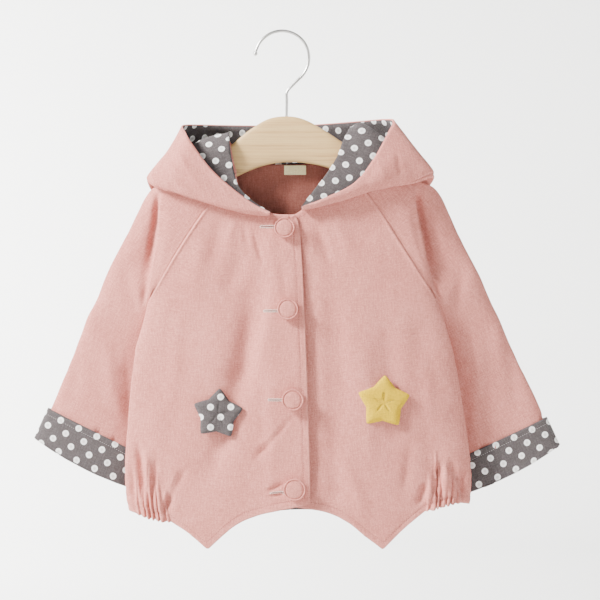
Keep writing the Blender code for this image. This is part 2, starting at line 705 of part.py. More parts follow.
def star_reach(angle, turn):
    # distance from the centre to the outline, as a share of the tip's
    fifth = 2.0 * math.pi / 5.0
    off = (angle - math.radians(90.0 + turn) + fifth / 2) % fifth - fifth / 2
    share = abs(off) / (fifth / 2)
    inner = STAR_VALLEY
    straight = inner * math.sin(fifth / 2) / (
        math.sin(abs(off)) * (1.0 - inner * math.cos(fifth / 2))
        + math.cos(abs(off)) * inner * math.sin(fifth / 2)
    )
    return min(straight, 0.97 - 0.1 * share)


def make_star(name, star, surface, finish, collection):
    mesh = bmesh.new()
    bmesh.ops.create_uvsphere(mesh, u_segments=40, v_segments=8, radius=1.0)
    for vert in mesh.verts:
        around = math.atan2(vert.co.y, vert.co.x)
        spread = math.hypot(vert.co.x, vert.co.y)
        reach = star.tip * star_reach(around, star.turn) * min(spread, 1.0)
        x = star.x + reach * math.cos(around)
        z = star.z + reach * math.sin(around)
        base = surface(x, z) - CLOTH / 2 - star.seat
        rise = STAR_PUFF * max(vert.co.z, 0.0) ** 0.7
        edge = 1.0 + 0.6 * vert.co.z if vert.co.z < 0.0 else 1.0
        vert.co = Vector((x, base - edge - rise, z))
    bmesh.ops.recalc_face_normals(mesh, faces=mesh.faces)
    for vert in mesh.verts:
        vert.co *= MM
    data = bpy.data.meshes.new(name)
    mesh.to_mesh(data)
    mesh.free()
    data.shade_smooth()
    return add_object(name, data, collection, finish)


def make_button(index, button, collection):
    # a covered button: flat back, rolled rim and domed face, turned about its axis
    radius = button.diameter / 2
    profile = (
        (0.0, 0.0), (radius * 0.86, 0.0), (radius, 1.6), (radius, 3.4),
        (radius * 0.9, 5.0), (radius * 0.6, 6.3), (0.0, BUTTON_HEIGHT),
    )
    data = bpy.data.meshes.new(f"button_{index}")
    mesh = bmesh.new()
    verts = [mesh.verts.new((r * MM, 0.0, h * MM)) for r, h in profile[::-1]]
    for a, b in zip(verts, verts[1:]):
        mesh.edges.new((a, b))
    mesh.to_mesh(data)
    mesh.free()
    item = add_object(f"button_{index}", data, collection, (PINK, 0.8))
    turned = item.modifiers.new("turned", "SCREW")
    turned.steps = turned.render_steps = BUTTON_SIDES
    turned.use_merge_vertices = True
    turned.merge_threshold = 0.00005
    slope = (lap_y(button.x, button.z + 8) - lap_y(button.x, button.z - 8)) / 16
    seat = lap_y(button.x, button.z) - CLOTH / 2 - SEAM
    item.rotation_euler = (math.pi / 2 - math.atan(slope), 0.0, 0.0)
    item.location = Vector((button.x, seat, button.z)) * MM
    return item


def make_wood(collection):
    mesh = bmesh.new()
    bmesh.ops.create_cone(
        mesh, cap_ends=True, segments=12, radius1=1.0, radius2=1.0, depth=1.0
    )
    upright = [e for e in mesh.edges if abs(e.verts[0].co.z - e.verts[1].co.z) > 0.5]
    cuts = 2 * (len(ARMS) - 1) - 1
    bmesh.ops.subdivide_edges(mesh, edges=upright, cuts=cuts)
    for vert in mesh.verts:
        arm = along([tuple(a) for a in ARMS], min(max(vert.co.z + 0.5, 0.0), 1.0))
        x, top, bottom, half = arm
        angle = math.atan2(vert.co.y, vert.co.x)
        up = math.copysign(abs(math.sin(angle)) ** 0.75, math.sin(angle))
        side = math.copysign(abs(math.cos(angle)) ** 0.45, math.cos(angle))
        vert.co = Vector((x, half * side, (top + bottom) / 2 + (top - bottom) / 2 * up)) * MM
    data = bpy.data.meshes.new("hanger_wood")
    mesh.to_mesh(data)
    mesh.free()
    data.shade_smooth()
    return add_object("hanger_wood", data, collection, (BEECH, 0.45))


def make_hook(collection):
    curve = bpy.data.curves.new("hanger_hook", "CURVE")
    curve.dimensions = "3D"
    curve.bevel_depth = WIRE * MM
    curve.bevel_resolution = 2
    curve.use_fill_caps = True
    centre = Vector(HOOK_CENTRE)
    turns = 16
    points = []
    for step in range(turns + 1):
        angle = math.radians(mix(HOOK_START, HOOK_END, step / turns))
        points.append(centre + HOOK_RADIUS * Vector((math.cos(angle), math.sin(angle))))
    points.append(Vector(STEM_BEND) + Vector((4.0, 6.0)))
    points.append(Vector(STEM_BEND))
    points.append(Vector((STEM_BEND[0], -74.0)))
    points.append(Vector((CENTRE_X, STEM_FOOT)))
    line = curve.splines.new("POLY")
    line.points.add(len(points) - 1)
    for place, point in zip(line.points, points):
        place.co = (point.x * MM, 0.0, point.y * MM, 1.0)
    line.points[0].radius = 1.5
    return add_object("hanger_hook", curve, collection, (STEEL, 0.3, 1.0))


def build():
    clear_scene()
    collection = bpy.data.collections.new("windbreaker")
    bpy.context.scene.collection.children.link(collection)
    for side in ("right", "left"):
        make_front(side, collection)
        make_sleeve(side, "front", collection)
        make_sleeve(side, "back", collection)
        make_cuff(side, collection)
        make_hood(side, "shell", collection)
        make_hood(side, "lining", collection)
    make_back(collection)
    make_facing(collection)
    make_label(collection)
    make_star("star_grey", GREY_STAR, lap_y, (DOTTED, 0.85), collection)
    make_star("star_yellow", YELLOW_STAR, front_y, (YELLOW, 0.85), collection)
    for index, button in enumerate(BUTTONS, 1):
        make_button(index, button, collection)
    make_wood(collection)
    make_hook(collection)


build()
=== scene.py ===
import functools
import math
import random
from collections import namedtuple

import bmesh
import bpy
import numpy as np
from mathutils import Matrix, Vector, noise
from mathutils.bvhtree import BVHTree


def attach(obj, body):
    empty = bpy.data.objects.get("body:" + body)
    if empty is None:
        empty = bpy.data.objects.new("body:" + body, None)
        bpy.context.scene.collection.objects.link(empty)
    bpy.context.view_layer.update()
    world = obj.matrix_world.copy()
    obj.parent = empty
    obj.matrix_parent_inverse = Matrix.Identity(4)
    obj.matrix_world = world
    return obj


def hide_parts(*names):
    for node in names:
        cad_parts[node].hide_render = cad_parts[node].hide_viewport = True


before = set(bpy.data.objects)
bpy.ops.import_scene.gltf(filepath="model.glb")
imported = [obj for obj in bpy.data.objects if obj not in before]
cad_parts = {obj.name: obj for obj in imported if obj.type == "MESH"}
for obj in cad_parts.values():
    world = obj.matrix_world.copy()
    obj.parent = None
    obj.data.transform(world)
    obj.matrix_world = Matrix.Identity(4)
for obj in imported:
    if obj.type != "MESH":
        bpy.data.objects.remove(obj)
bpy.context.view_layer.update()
print("frame loaded:", len(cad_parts), "nodes")

mm = 0.001
surfaces = {}   # finished cloth, for stitches to be laid on
remembered = functools.lru_cache(None)

# Tables are in millimetres: x to the viewer's right, z up, from the inside of the hook.
# "Right" and "left" in names are the wearer's, so the right front lies at -x.
body = {
    "wall": 0.8,            # cloth as modelled here
    "lift": 0.35,           # its outer face over the middle of the solid's wall
    "sideSeam": 1.0,
    "lapLift": 2.4,         # top front over the lower one
    "lapStep": (-24.0, -9.0),
    "centre": 4.9,
    "raglanRows": 7,
    "bodyRows": 16,
    "waves": 7,             # gathers at each side of the hem
    "waveDepth": 6.0,
    "waveHeight": 62.0,
    "waveFrom": 0.04,
    "hemStitch": 7.6,       # over the hem's edge
    "lapStitch": 7.0,       # inside the lap's edge
}

Edge = namedtuple("Edge", "z left right")
edges = (
    Edge(-112.0, -48.0, 59.0), Edge(-118.0, -56.0, 68.0), Edge(-135.0, -84.0, 95.5),
    Edge(-151.0, -111.0, 121.0), Edge(-164.0, -133.0, 143.0), Edge(-184.0, -133.0, 144.0),
    Edge(-214.0, -135.5, 150.0), Edge(-244.0, -139.5, 156.5), Edge(-270.0, -142.6, 162.0),
    Edge(-291.0, -145.0, 169.0), Edge(-315.0, -151.5, 177.7), Edge(-344.0, -160.0, 186.4),
    Edge(-380.0, -164.6, 193.2), Edge(-420.0, -168.2, 199.5), Edge(-457.0, -171.2, 205.0),
    Edge(-485.0, -171.6, 207.0), Edge(-509.0, -170.0, 206.0), Edge(-521.0, -167.4, 204.0),
    Edge(-565.0, -162.0, 198.0),
)
sideFoot = {"left": -521.0, "right": -514.0}

Depth = namedtuple("Depth", "z front back square")
depths = (
    Depth(-110.0, 9.6, 9.6, 4.4), Depth(-150.0, 10.4, 10.4, 4.2),
    Depth(-185.0, 12.0, 11.5, 3.6), Depth(-235.0, 15.5, 14.0, 2.8),
    Depth(-290.0, 19.0, 17.0, 2.3), Depth(-360.0, 22.0, 19.0, 2.0),
    Depth(-440.0, 24.0, 20.0, 2.0), Depth(-570.0, 25.0, 21.0, 2.0),
)

Fold = namedtuple("Fold", "x0 z0 x1 z1 width sink")
frontFolds = (
    Fold(-32.0, -290.0, -44.0, -374.0, 15.0, 3.2),
    Fold(-44.0, -374.0, -74.0, -470.0, 17.0, 4.0),
    Fold(-112.0, -330.0, -128.0, -490.0, 11.0, 1.8),
    Fold(52.0, -300.0, 58.0, -500.0, 13.0, 2.6),
    Fold(150.0, -330.0, 168.0, -490.0, 12.0, 2.2),
)
backFolds = (
    Fold(-60.0, -290.0, -78.0, -500.0, 17.0, 3.4),
    Fold(10.0, -310.0, 22.0, -505.0, 15.0, 2.6),
    Fold(92.0, -290.0, 116.0, -500.0, 17.0, 3.2),
)

raglan = {
    "frontRight": ((-50.0, -153.0), (-79.6, -187.5), (-113.0, -237.0), (-144.6, -291.0)),
    "frontLeft": ((61.0, -142.0), (95.9, -179.0), (134.0, -237.0), (168.6, -291.0)),
    "backRight": ((-44.0, -139.0), (-80.0, -184.0), (-113.0, -236.0), (-144.6, -291.0)),
    "backLeft": ((54.0, -138.0), (94.0, -182.0), (134.0, -236.0), (168.6, -291.0)),
}
lapEdge = (
    (14.5, -199.5), (19.0, -214.0), (22.0, -252.0), (24.2, -296.0), (26.0, -338.0),
    (27.6, -380.0), (29.0, -422.0), (30.2, -466.0), (31.1, -512.6),
)
underlapEdge = ((-6.0, -202.0), (-5.0, -300.0), (-3.0, -410.0), (-1.0, -514.0))
neckRight = ((-50.0, -153.0), (-46.0, -170.0), (-32.0, -188.0), (-10.0, -198.0), (14.5, -199.5))
neckLeft = ((-6.0, -202.0), (14.0, -199.0), (32.0, -184.0), (48.0, -163.0), (61.0, -142.0))
neckBack = ((-44.0, -139.0), (-22.0, -142.6), (4.9, -143.6), (31.0, -142.2), (54.0, -138.0))
hemRight = (
    ((-167.4, -521.0), (-152.0, -525.5), (-136.0, -529.0), (-119.9, -532.0)),
    ((-119.9, -532.0), (-101.4, -543.9), (-80.2, -561.7)),
    ((-80.2, -561.7), (-51.2, -536.3), (-26.2, -524.8), (1.0, -518.4), (31.1, -512.6)),
)
hemLeft = (
    ((204.0, -514.0), (187.0, -512.0), (170.0, -515.6), (154.0, -520.5)),
    ((154.0, -520.5), (131.0, -539.5), (108.5, -561.7)),
    ((108.5, -561.7), (89.4, -547.2), (69.8, -531.5), (44.7, -520.4), (-1.0, -514.0)),
)
hemBackMiddle = (
    (-80.2, -561.7), (-51.2, -538.3), (-22.0, -527.0), (14.0, -522.4), (48.0, -524.5),
    (74.0, -535.5), (108.5, -561.7),
)
hemStops = (0.19, 0.36)
backStops = (0.1, 0.24)


def mix(a, b, share):
    return a + (b - a) * share


def clamp(value, low=0.0, high=1.0):
    return min(max(value, low), high)


def ease(value, low, high):
    share = clamp((value - low) / (high - low))
    return share * share * (3.0 - 2.0 * share)


def along(points, share):
    # smooth curve through points, at a share of its stretches
    spans = len(points) - 1
    index = min(max(int(share * spans), 0), spans - 1)
    f = share * spans - index
    size = range(len(points[0]))
    p1, p2 = points[index], points[index + 1]
    p0 = points[index - 1] if index > 0 else [2 * p1[k] - p2[k] for k in size]
    p3 = points[index + 2] if index + 2 <= spans else [2 * p2[k] - p1[k] for k in size]
    f2, f3 = f * f, f ** 3
    return Vector([
        0.5 * (2 * p1[k] + (p2[k] - p0[k]) * f
               + (2 * p0[k] - 5 * p1[k] + 4 * p2[k] - p3[k]) * f2
               + (3 * p1[k] - p0[k] - 3 * p2[k] + p3[k]) * f3)
        for k in size
    ])


def stretches(runs, stops, share):
    marks = (0.0, *stops, 1.0)
    for run, low, high in zip(runs, marks, marks[1:]):
        if share <= high:
            return along(run, (share - low) / (high - low))
    return along(runs[-1], 1.0)


def rowAt(table, key):
    rising = table[-1][0] > table[0][0]
    for a, b in zip(table, table[1:]):
        if (key <= b[0]) == rising or b is table[-1]:
            share = clamp((key - a[0]) / (b[0] - a[0]))
            return type(a)(*[p + (q - p) * share for p, q in zip(a, b)])
    return table[-1]


def offLine(x, z, x0, z0, x1, z1):
    # distance from a line, and the share of it where that is
    dx, dz = x1 - x0, z1 - z0
    share = ((x - x0) * dx + (z - z0) * dz) / (dx * dx + dz * dz)
    near = clamp(share)
    return math.hypot(x - x0 - near * dx, z - z0 - near * dz), share


def foldSink(folds, x, z):
    total = 0.0
    for fold in folds:
        off, _ = offLine(x, z, fold.x0, fold.z0, fold.x1, fold.z1)
        total += fold.sink * math.exp(-((off / fold.width) ** 2))
    return total


def bulge(x, z, square):
    edge = rowAt(edges, z)
    across = abs(2.0 * (x - edge.left) / (edge.right - edge.left) - 1.0)
    return max(1.0 - min(across, 1.0) ** square, 0.0) ** (1.0 / square)


def frontY(x, z):
    depth = rowAt(depths, z)
    share = bulge(x, z, depth.square)
    return -body["sideSeam"] / 2 - depth.front * share + foldSink(frontFolds, x, z) * share


def backY(x, z):
    depth = rowAt(depths, z)
    share = bulge(x, z, depth.square)
    return body["sideSeam"] / 2 + depth.back * share - foldSink(backFolds, x, z) * share


def lapY(x, z):
    return frontY(x, z) - body["lapLift"] * ease(x, *body["lapStep"])


def coons(top, bottom, left, right, u, v):
    corners = (
        top(0.0) * (1 - u) * (1 - v) + top(1.0) * u * (1 - v)
        + bottom(0.0) * (1 - u) * v + bottom(1.0) * u * v
    )
    return top(u) * (1 - v) + bottom(u) * v + left(v) * (1 - u) + right(v) * u - corners


def sideLine(seam, side):
    split = body["raglanRows"] / body["bodyRows"]

    def line(v):
        if v <= split:
            return along(raglan[seam], v / split)
        z = mix(raglan[seam][-1][1], sideFoot[side], (v - split) / (1.0 - split))
        return Vector((getattr(rowAt(edges, z), side), z))

    return line


# Creases that are laid on the cloth's outer face: below 0 they sink, above they rise
Crease = namedtuple("Crease", "x0 z0 x1 z1 width rise")
creases = {
    "frontRight": (
        Crease(-31.6, -216.0, -20.7, -252.0, 3.0, -0.8), Crease(-42.0, -208.0, -36.0, -240.0, 3.4, -0.6),
        Crease(-24.0, -212.0, -10.0, -240.0, 3.2, 0.5), Crease(-52.0, -202.0, -58.0, -236.0, 5.0, 0.6),
        Crease(0.0, -250.0, 4.0, -292.0, 4.0, -0.5), Crease(-41.0, -240.0, -62.0, -286.0, 10.0, -1.0),
        Crease(-84.0, -216.0, -100.0, -290.0, 12.0, 0.9), Crease(-66.0, -200.0, -78.0, -262.0, 8.0, -0.7),
        Crease(15.0, -415.0, -33.0, -467.0, 3.0, -1.5), Crease(12.0, -420.0, -24.0, -454.0, 4.2, 0.8),
        Crease(3.0, -489.0, -17.0, -499.0, 2.4, -1.3), Crease(4.0, -500.0, -16.0, -505.0, 2.2, -0.9),
        Crease(-149.0, -508.0, -157.0, -447.0, 4.2, -2.2), Crease(-141.0, -508.0, -136.0, -462.0, 3.6, -1.3),
        Crease(-145.0, -508.0, -147.0, -456.0, 3.4, 1.2), Crease(-126.0, -522.0, -120.0, -496.0, 3.6, -2.2),
        Crease(-121.0, -499.0, -105.0, -476.0, 4.0, -1.7), Crease(-130.0, -516.0, -112.0, -478.0, 3.4, 1.2),
        Crease(-160.0, -512.0, -164.0, -470.0, 3.2, -1.2), Crease(-108.0, -300.0, -122.0, -420.0, 9.0, 0.9),
        Crease(-31.0, -296.0, -46.0, -384.0, 8.5, -1.4), Crease(-44.0, -370.0, -76.0, -480.0, 10.0, -1.5),
        Crease(-14.0, -300.0, -26.0, -386.0, 7.0, 0.9),
    ),
    "frontLeft": (
        Crease(36.0, -208.0, 54.0, -256.0, 5.0, -0.8), Crease(28.0, -214.0, 36.0, -250.0, 4.0, 0.5),
        Crease(52.0, -196.0, 80.0, -250.0, 8.0, 0.7), Crease(30.0, -262.0, 37.0, -508.0, 8.0, -1.4),
        Crease(170.0, -470.0, 167.0, -506.0, 3.8, -2.3), Crease(197.0, -474.0, 195.0, -506.0, 3.4, -1.9),
        Crease(156.0, -490.0, 148.0, -514.0, 3.4, -1.5), Crease(181.0, -466.0, 193.0, -490.0, 3.8, -1.4),
        Crease(176.0, -470.0, 178.0, -504.0, 3.6, 1.5), Crease(162.0, -482.0, 159.0, -512.0, 3.2, 1.1),
        Crease(163.0, -277.0, 172.0, -294.0, 2.8, -0.8), Crease(112.0, -290.0, 126.0, -470.0, 11.0, -1.0),
        Crease(88.0, -330.0, 96.0, -480.0, 10.0, 0.8), Crease(140.0, -440.0, 132.0, -505.0, 5.0, -0.9),
        Crease(60.0, -452.0, 96.0, -536.0, 8.0, 0.8), Crease(15.0, -204.0, 24.5, -310.0, 3.2, -0.7),
        Crease(23.5, -290.0, 29.6, -430.0, 3.4, -0.8), Crease(28.6, -410.0, 34.0, -512.0, 4.0, -0.9),
        Crease(60.0, -300.0, 70.0, -420.0, 9.0, -0.7), Crease(150.0, -340.0, 166.0, -440.0, 8.0, 0.8),
    ),
    "back": (
        Crease(-110.0, -250.0, -96.0, -420.0, 11.0, -1.2), Crease(-30.0, -230.0, -34.0, -470.0, 12.0, 1.0),
        Crease(60.0, -240.0, 52.0, -470.0, 11.0, -1.1), Crease(140.0, -300.0, 150.0, -440.0, 9.0, 1.0),
        Crease(-40.0, -152.0, -58.0, -214.0, 5.0, -0.8), Crease(50.0, -152.0, 70.0, -216.0, 5.0, -0.8),
        Crease(4.0, -150.0, 8.0, -236.0, 7.0, 0.6), Crease(-148.0, -508.0, -150.0, -452.0, 4.2, -2.0),
        Crease(-128.0, -520.0, -112.0, -478.0, 4.0, -1.8), Crease(-138.0, -512.0, -132.0, -470.0, 3.6, 1.2),
        Crease(176.0, -508.0, 172.0, -462.0, 4.0, -2.0), Crease(190.0, -506.0, 192.0, -470.0, 3.4, -1.4),
        Crease(160.0, -514.0, 150.0, -480.0, 3.8, -1.6), Crease(183.0, -508.0, 182.0, -470.0, 3.4, 1.1),
    ),
    "sleeveRight": (
        Crease(-176.0, -250.0, -160.0, -300.0, 6.0, -0.9), Crease(-196.0, -330.0, -180.0, -420.0, 8.0, 0.9),
        Crease(-222.0, -350.0, -232.0, -412.0, 7.0, -0.7), Crease(-205.0, -455.0, -200.0, -430.0, 3.4, -1.0),
        Crease(-186.0, -462.0, -184.0, -440.0, 3.0, -0.8), Crease(-170.0, -350.0, -166.0, -440.0, 6.0, -0.8),
        Crease(-214.0, -290.0, -204.0, -360.0, 9.0, 0.6), Crease(-136.0, -176.0, -139.0, -218.0, 3.2, -1.6),
        Crease(-139.0, -208.0, -147.0, -262.0, 3.4, -1.8), Crease(-146.0, -250.0, -152.0, -300.0, 3.6, -1.6),
        Crease(-131.5, -176.0, -134.0, -218.0, 2.4, 0.7), Crease(-134.5, -208.0, -141.0, -262.0, 2.6, 0.8),
    ),
    "sleeveLeft": (
        Crease(200.0, -250.0, 190.0, -300.0, 6.0, -0.9), Crease(220.0, -330.0, 212.0, -420.0, 8.0, 0.9),
        Crease(250.0, -350.0, 258.0, -410.0, 7.0, -0.8), Crease(220.0, -448.0, 223.0, -470.0, 3.2, -1.2),
        Crease(232.0, -442.0, 236.0, -466.0, 3.2, 0.8), Crease(286.0, -416.0, 290.0, -432.0, 2.8, -0.9),
        Crease(196.0, -360.0, 206.0, -440.0, 6.0, -0.8), Crease(240.0, -290.0, 236.0, -360.0, 9.0, 0.6),
        Crease(146.0, -172.0, 154.0, -216.0, 3.2, -1.6), Crease(153.0, -206.0, 161.0, -250.0, 3.4, -1.8),
        Crease(160.0, -240.0, 172.0, -296.0, 3.6, -1.6), Crease(142.0, -176.0, 149.0, -216.0, 2.4, 0.7),
        Crease(149.0, -206.0, 156.0, -250.0, 2.6, 0.8),
    ),
    "hoodRight": (
        Crease(-118.0, -124.0, -86.0, -176.0, 3.0, 0.4), Crease(-96.0, -140.0, -60.0, -184.0, 5.0, -0.4),
        Crease(-128.0, -150.0, -96.0, -182.0, 6.0, 0.5),
    ),
    "hoodLeft": (
        Crease(124.0, -130.0, 128.0, -160.0, 3.0, -0.5), Crease(104.0, -140.0, 112.0, -172.0, 3.4, 0.4),
        Crease(88.0, -156.0, 96.0, -178.0, 5.0, -0.4),
    ),
}


def creased(name, x, z):
    total = 0.0
    for c in creases[name]:
        off, share = offLine(x, z, c.x0, c.z0, c.x1, c.z1)
        if off < 3.0 * c.width:
            fade = ease(share, -0.1, 0.35) * ease(1.1 - share, 0.0, 0.45)
            total += c.rise * math.exp(-((off / c.width) ** 2)) * fade
    return cloth["folds"] * total


def unrest(p, seed):
    # the small unevenness of washed cloth
    broad = noise.noise(Vector((p.x / 34.0 + seed, p.y / 34.0, p.z / 52.0)))
    small = noise.noise(Vector((p.x / 10.0, p.y / 10.0 + seed, p.z / 15.0)))
    return 1.25 * broad + 0.36 * small


def pucker(distance, run, pitch, depth, reach, seed):
    # ripples that a seam draws into the cloth beside it
    if distance > 5.0 * reach:
        return 0.0
    ripple = noise.noise(Vector((run / pitch, seed, distance / (4.0 * pitch))))
    return depth * math.exp(-distance / reach) * ripple


def rolled(distance, reach=1.5, drop=0.7):
    # an edge that turns in to its seam
    return -drop * (1.0 - clamp(distance / reach)) ** 2


def channel(distance, at, width=0.9, depth=0.5):
    # the groove that a row of stitches pulls
    return -depth * math.exp(-(((distance - at) / width) ** 2))


def feed(material, item, values):
    # an output is linked to its socket, and anything else is set on the socket itself
    for key, value in values.items():
        if isinstance(value, bpy.types.NodeSocket):
            material.node_tree.links.new(value, item.inputs[key])
        else:
            item.inputs[key].default_value = value


def makeNode(material, kind, values=None, **fields):
    item = material.node_tree.nodes.new("ShaderNode" + kind)
    for key, value in fields.items():
        setattr(item, key, value)
    feed(material, item, values or {})
    return item


def calc(material, operation, *values):
    return makeNode(material, "Math", dict(enumerate(values)), operation=operation).outputs[0]


def weighted(material, *parts):
    # sum of outputs, each times its weight
    terms = [calc(material, "MULTIPLY", value, weight) for value, weight in parts]
    return functools.reduce(lambda a, b: calc(material, "ADD", a, b), terms)


def blend(material, share, a, b):
    return makeNode(material, "Mix", {0: share, 6: a, 7: b}, data_type="RGBA").outputs[2]


def streaks(material, place, scale, detail):
    # noise drawn out along the axes that have the smaller scales
    stretched = makeNode(material, "Mapping", {"Vector": place, "Scale": scale}).outputs[0]
    return makeNode(material, "TexNoise", {
        "Vector": stretched, "Scale": 1.0, "Detail": detail, "Roughness": 0.6}).outputs[0]


def shades(material, share, low, middle, high):
    # a ramp through three colours, each given with its place
    item = makeNode(material, "ValToRGB", {"Fac": share})
    stops = item.color_ramp.elements
    stops[0].position, stops[0].color = low
    stops[1].position, stops[1].color = high
    stops.new(middle[0]).color = middle[1]
    return item.outputs[0]


def newMaterial(name):
    material = bpy.data.materials.new(name)
    material.use_nodes = True
    shader = material.node_tree.nodes["Principled BSDF"]
    return material, shader


cloth = {
    "yarn": 0.56,           # mm from yarn to yarn
    "weave": 0.09,          # mm of relief
    "slub": 0.10,           # uneven yarns
    "dotPitch": 15.4,
    "dotRadius": 3.55,
    "sheen": 0.1,
    "folds": 2.3,           # how strongly the tables' creases show
    "roughness": 0.88,
}


def clothMaterial(name, deep, base, pale, dots=None, sheenTint=(1.0, 0.9, 0.88, 1.0)):
    material, shader = newMaterial(name)
    uv = makeNode(material, "UVMap", uv_map="cloth").outputs[0]
    scale = math.pi / (10.0 * cloth["yarn"])
    warp, weft = (
        makeNode(material, "TexWave",
                 {"Vector": uv, "Scale": scale, "Distortion": 0.5, "Detail": 1.0, "Detail Scale": 0.6},
                 wave_type="BANDS", bands_direction=way).outputs[1]
        for way in ("X", "Y")
    )
    crossing = calc(material, "MULTIPLY",
                    calc(material, "SUBTRACT", warp, 0.5), calc(material, "SUBTRACT", weft, 0.5))
    down = streaks(material, uv, (0.75, 0.1, 1.0), 3.0)
    across = streaks(material, uv, (0.1, 0.75, 1.0), 3.0)
    grain = streaks(material, uv, (0.5, 0.5, 1.0), 4.0)
    patches = streaks(material, uv, (0.022, 0.015, 1.0), 2.0)
    speck = streaks(material, uv, (1.6, 1.1, 1.0), 2.0)
    slub = weighted(material, (down, 0.6), (across, 0.4))
    tone = weighted(material, (slub, 0.4), (speck, 0.3), (grain, 0.22), (patches, 0.08))
    colour = shades(material, tone, (0.41, deep), (0.5, base), (0.59, pale))
    if dots:
        turned = makeNode(material, "Mapping", {
            "Vector": uv, "Rotation": (0.0, 0.0, math.pi / 4),
            "Scale": (1.0 / cloth["dotPitch"], 1.0 / cloth["dotPitch"], 1.0)}).outputs[0]
        cell = makeNode(material, "VectorMath", {0: turned}, operation="FRACTION").outputs[0]
        centred = makeNode(
            material, "VectorMath", {0: cell, 1: (0.5, 0.5, 0.0)}, operation="SUBTRACT").outputs[0]
        off = makeNode(material, "VectorMath", {0: centred}, operation="LENGTH").outputs[1]
        bleed = calc(material, "SUBTRACT", grain, 0.5)
        radius = weighted(material, (off, cloth["dotPitch"]), (bleed, 0.9))
        inked = makeNode(material, "MapRange", {
            "Value": radius, "From Min": cloth["dotRadius"] - 0.25, "From Max": cloth["dotRadius"] + 0.25,
            "To Min": 1.0, "To Max": 0.0}, interpolation_type="SMOOTHSTEP").outputs[0]
        rim = makeNode(material, "MapRange", {
            "Value": radius, "From Min": 0.8, "From Max": 2.6}, interpolation_type="SMOOTHSTEP").outputs[0]
        paint = blend(material, rim, dots[0], dots[1])
        colour = blend(material, inked, colour, paint)
    # painted highlight: near the edges the colour is blended a little towards the pale shade
    edgeLit = makeNode(material, "Attribute", attribute_name="edgeHighlight").outputs["Fac"]
    colour = blend(material, calc(material, "MULTIPLY", edgeLit, 0.35), colour, pale)
    height = weighted(
        material, (crossing, 4.0 * cloth["weave"]), (slub, 2.2 * cloth["slub"]), (grain, 0.16))
    bump = makeNode(material, "Bump", {"Height": height, "Distance": mm, "Strength": 1.0}).outputs[0]
    feed(material, shader, {
        "Base Color": colour, "Normal": bump, "Roughness": cloth["roughness"], "Specular IOR Level": 0.25,
        "Sheen Weight": cloth["sheen"], "Sheen Roughness": 0.45, "Sheen Tint": sheenTint})
    return material


def threadMaterial(name, colour):
    material, shader = newMaterial(name)
    place = makeNode(material, "TexCoord").outputs["Object"]
    twist = makeNode(material, "TexNoise", {"Vector": place, "Scale": 2600.0, "Detail": 2.0}).outputs[0]
    darker = (colour[0] * 0.72, colour[1] * 0.72, colour[2] * 0.72, 1.0)
    bump = makeNode(material, "Bump", {"Height": twist, "Distance": 0.1 * mm, "Strength": 0.6}).outputs[0]
    feed(material, shader, {"Base Color": blend(material, twist, darker, colour), "Normal": bump,
                            "Roughness": 0.7, "Sheen Weight": 0.2})
    return material


pinkCloth = clothMaterial(
    "pinkCloth", (0.440, 0.145, 0.115, 1.0), (0.580, 0.205, 0.168, 1.0), (0.720, 0.300, 0.252, 1.0))
# a darker copy of the pink cloth for the back panel's inner face: painted shade, where the hood and hanger
# shadow the inside of the back
pinkInsidePaintedShade = clothMaterial(
    "pinkInsidePaintedShade", (0.190, 0.058, 0.044, 1.0), (0.240, 0.080, 0.060, 1.0), (0.300, 0.110, 0.085, 1.0))
greyDots = clothMaterial(
    "greyDotCloth", (0.052, 0.043, 0.044, 1.0), (0.076, 0.064, 0.065, 1.0), (0.115, 0.098, 0.100, 1.0),
    dots=((0.70, 0.68, 0.66, 1.0), (0.92, 0.91, 0.89, 1.0)), sheenTint=(0.9, 0.9, 0.92, 1.0))
yellowCloth = clothMaterial(
    "yellowCloth", (0.480, 0.290, 0.001, 1.0), (0.620, 0.395, 0.001, 1.0), (0.760, 0.510, 0.002, 1.0),
    sheenTint=(1.0, 0.9, 0.3, 1.0))
creamTape = clothMaterial(
    "creamTape", (0.640, 0.560, 0.300, 1.0), (0.740, 0.660, 0.380, 1.0), (0.820, 0.750, 0.480, 1.0),
    sheenTint=(1.0, 1.0, 0.9, 1.0))
pinkThread = threadMaterial("pinkThread", (0.30, 0.075, 0.055, 1.0))
paleThread = threadMaterial("paleThread", (0.93, 0.74, 0.66, 1.0))
# very dark stitches for the buttonhole slits: painted shade for the gap of each cut
slitShade = threadMaterial("slitShade", (0.13, 0.035, 0.028, 1.0))
greyThread = threadMaterial("greyThread", (0.36, 0.32, 0.32, 1.0))
darkThread = threadMaterial("darkThread", (0.045, 0.040, 0.042, 1.0))
print("cloth and threads mixed")


def meshFrom(name, mesh):
    data = bpy.data.meshes.new(name)
    mesh.to_mesh(data)
    mesh.free()
    return data


def addPiece(name, data, material, slotName, *nodes):
    item = bpy.data.objects.new(name, data)
    bpy.context.scene.collection.objects.link(item)
    data.materials.clear()
    data.materials.append(material)
    data.shade_smooth()
    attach(item, "root")
    if nodes:
        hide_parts(*nodes)
    return item


# a place on a piece of cloth, and how far along the cloth each of its edges is
Spot = namedtuple("Spot", "p left right top foot")


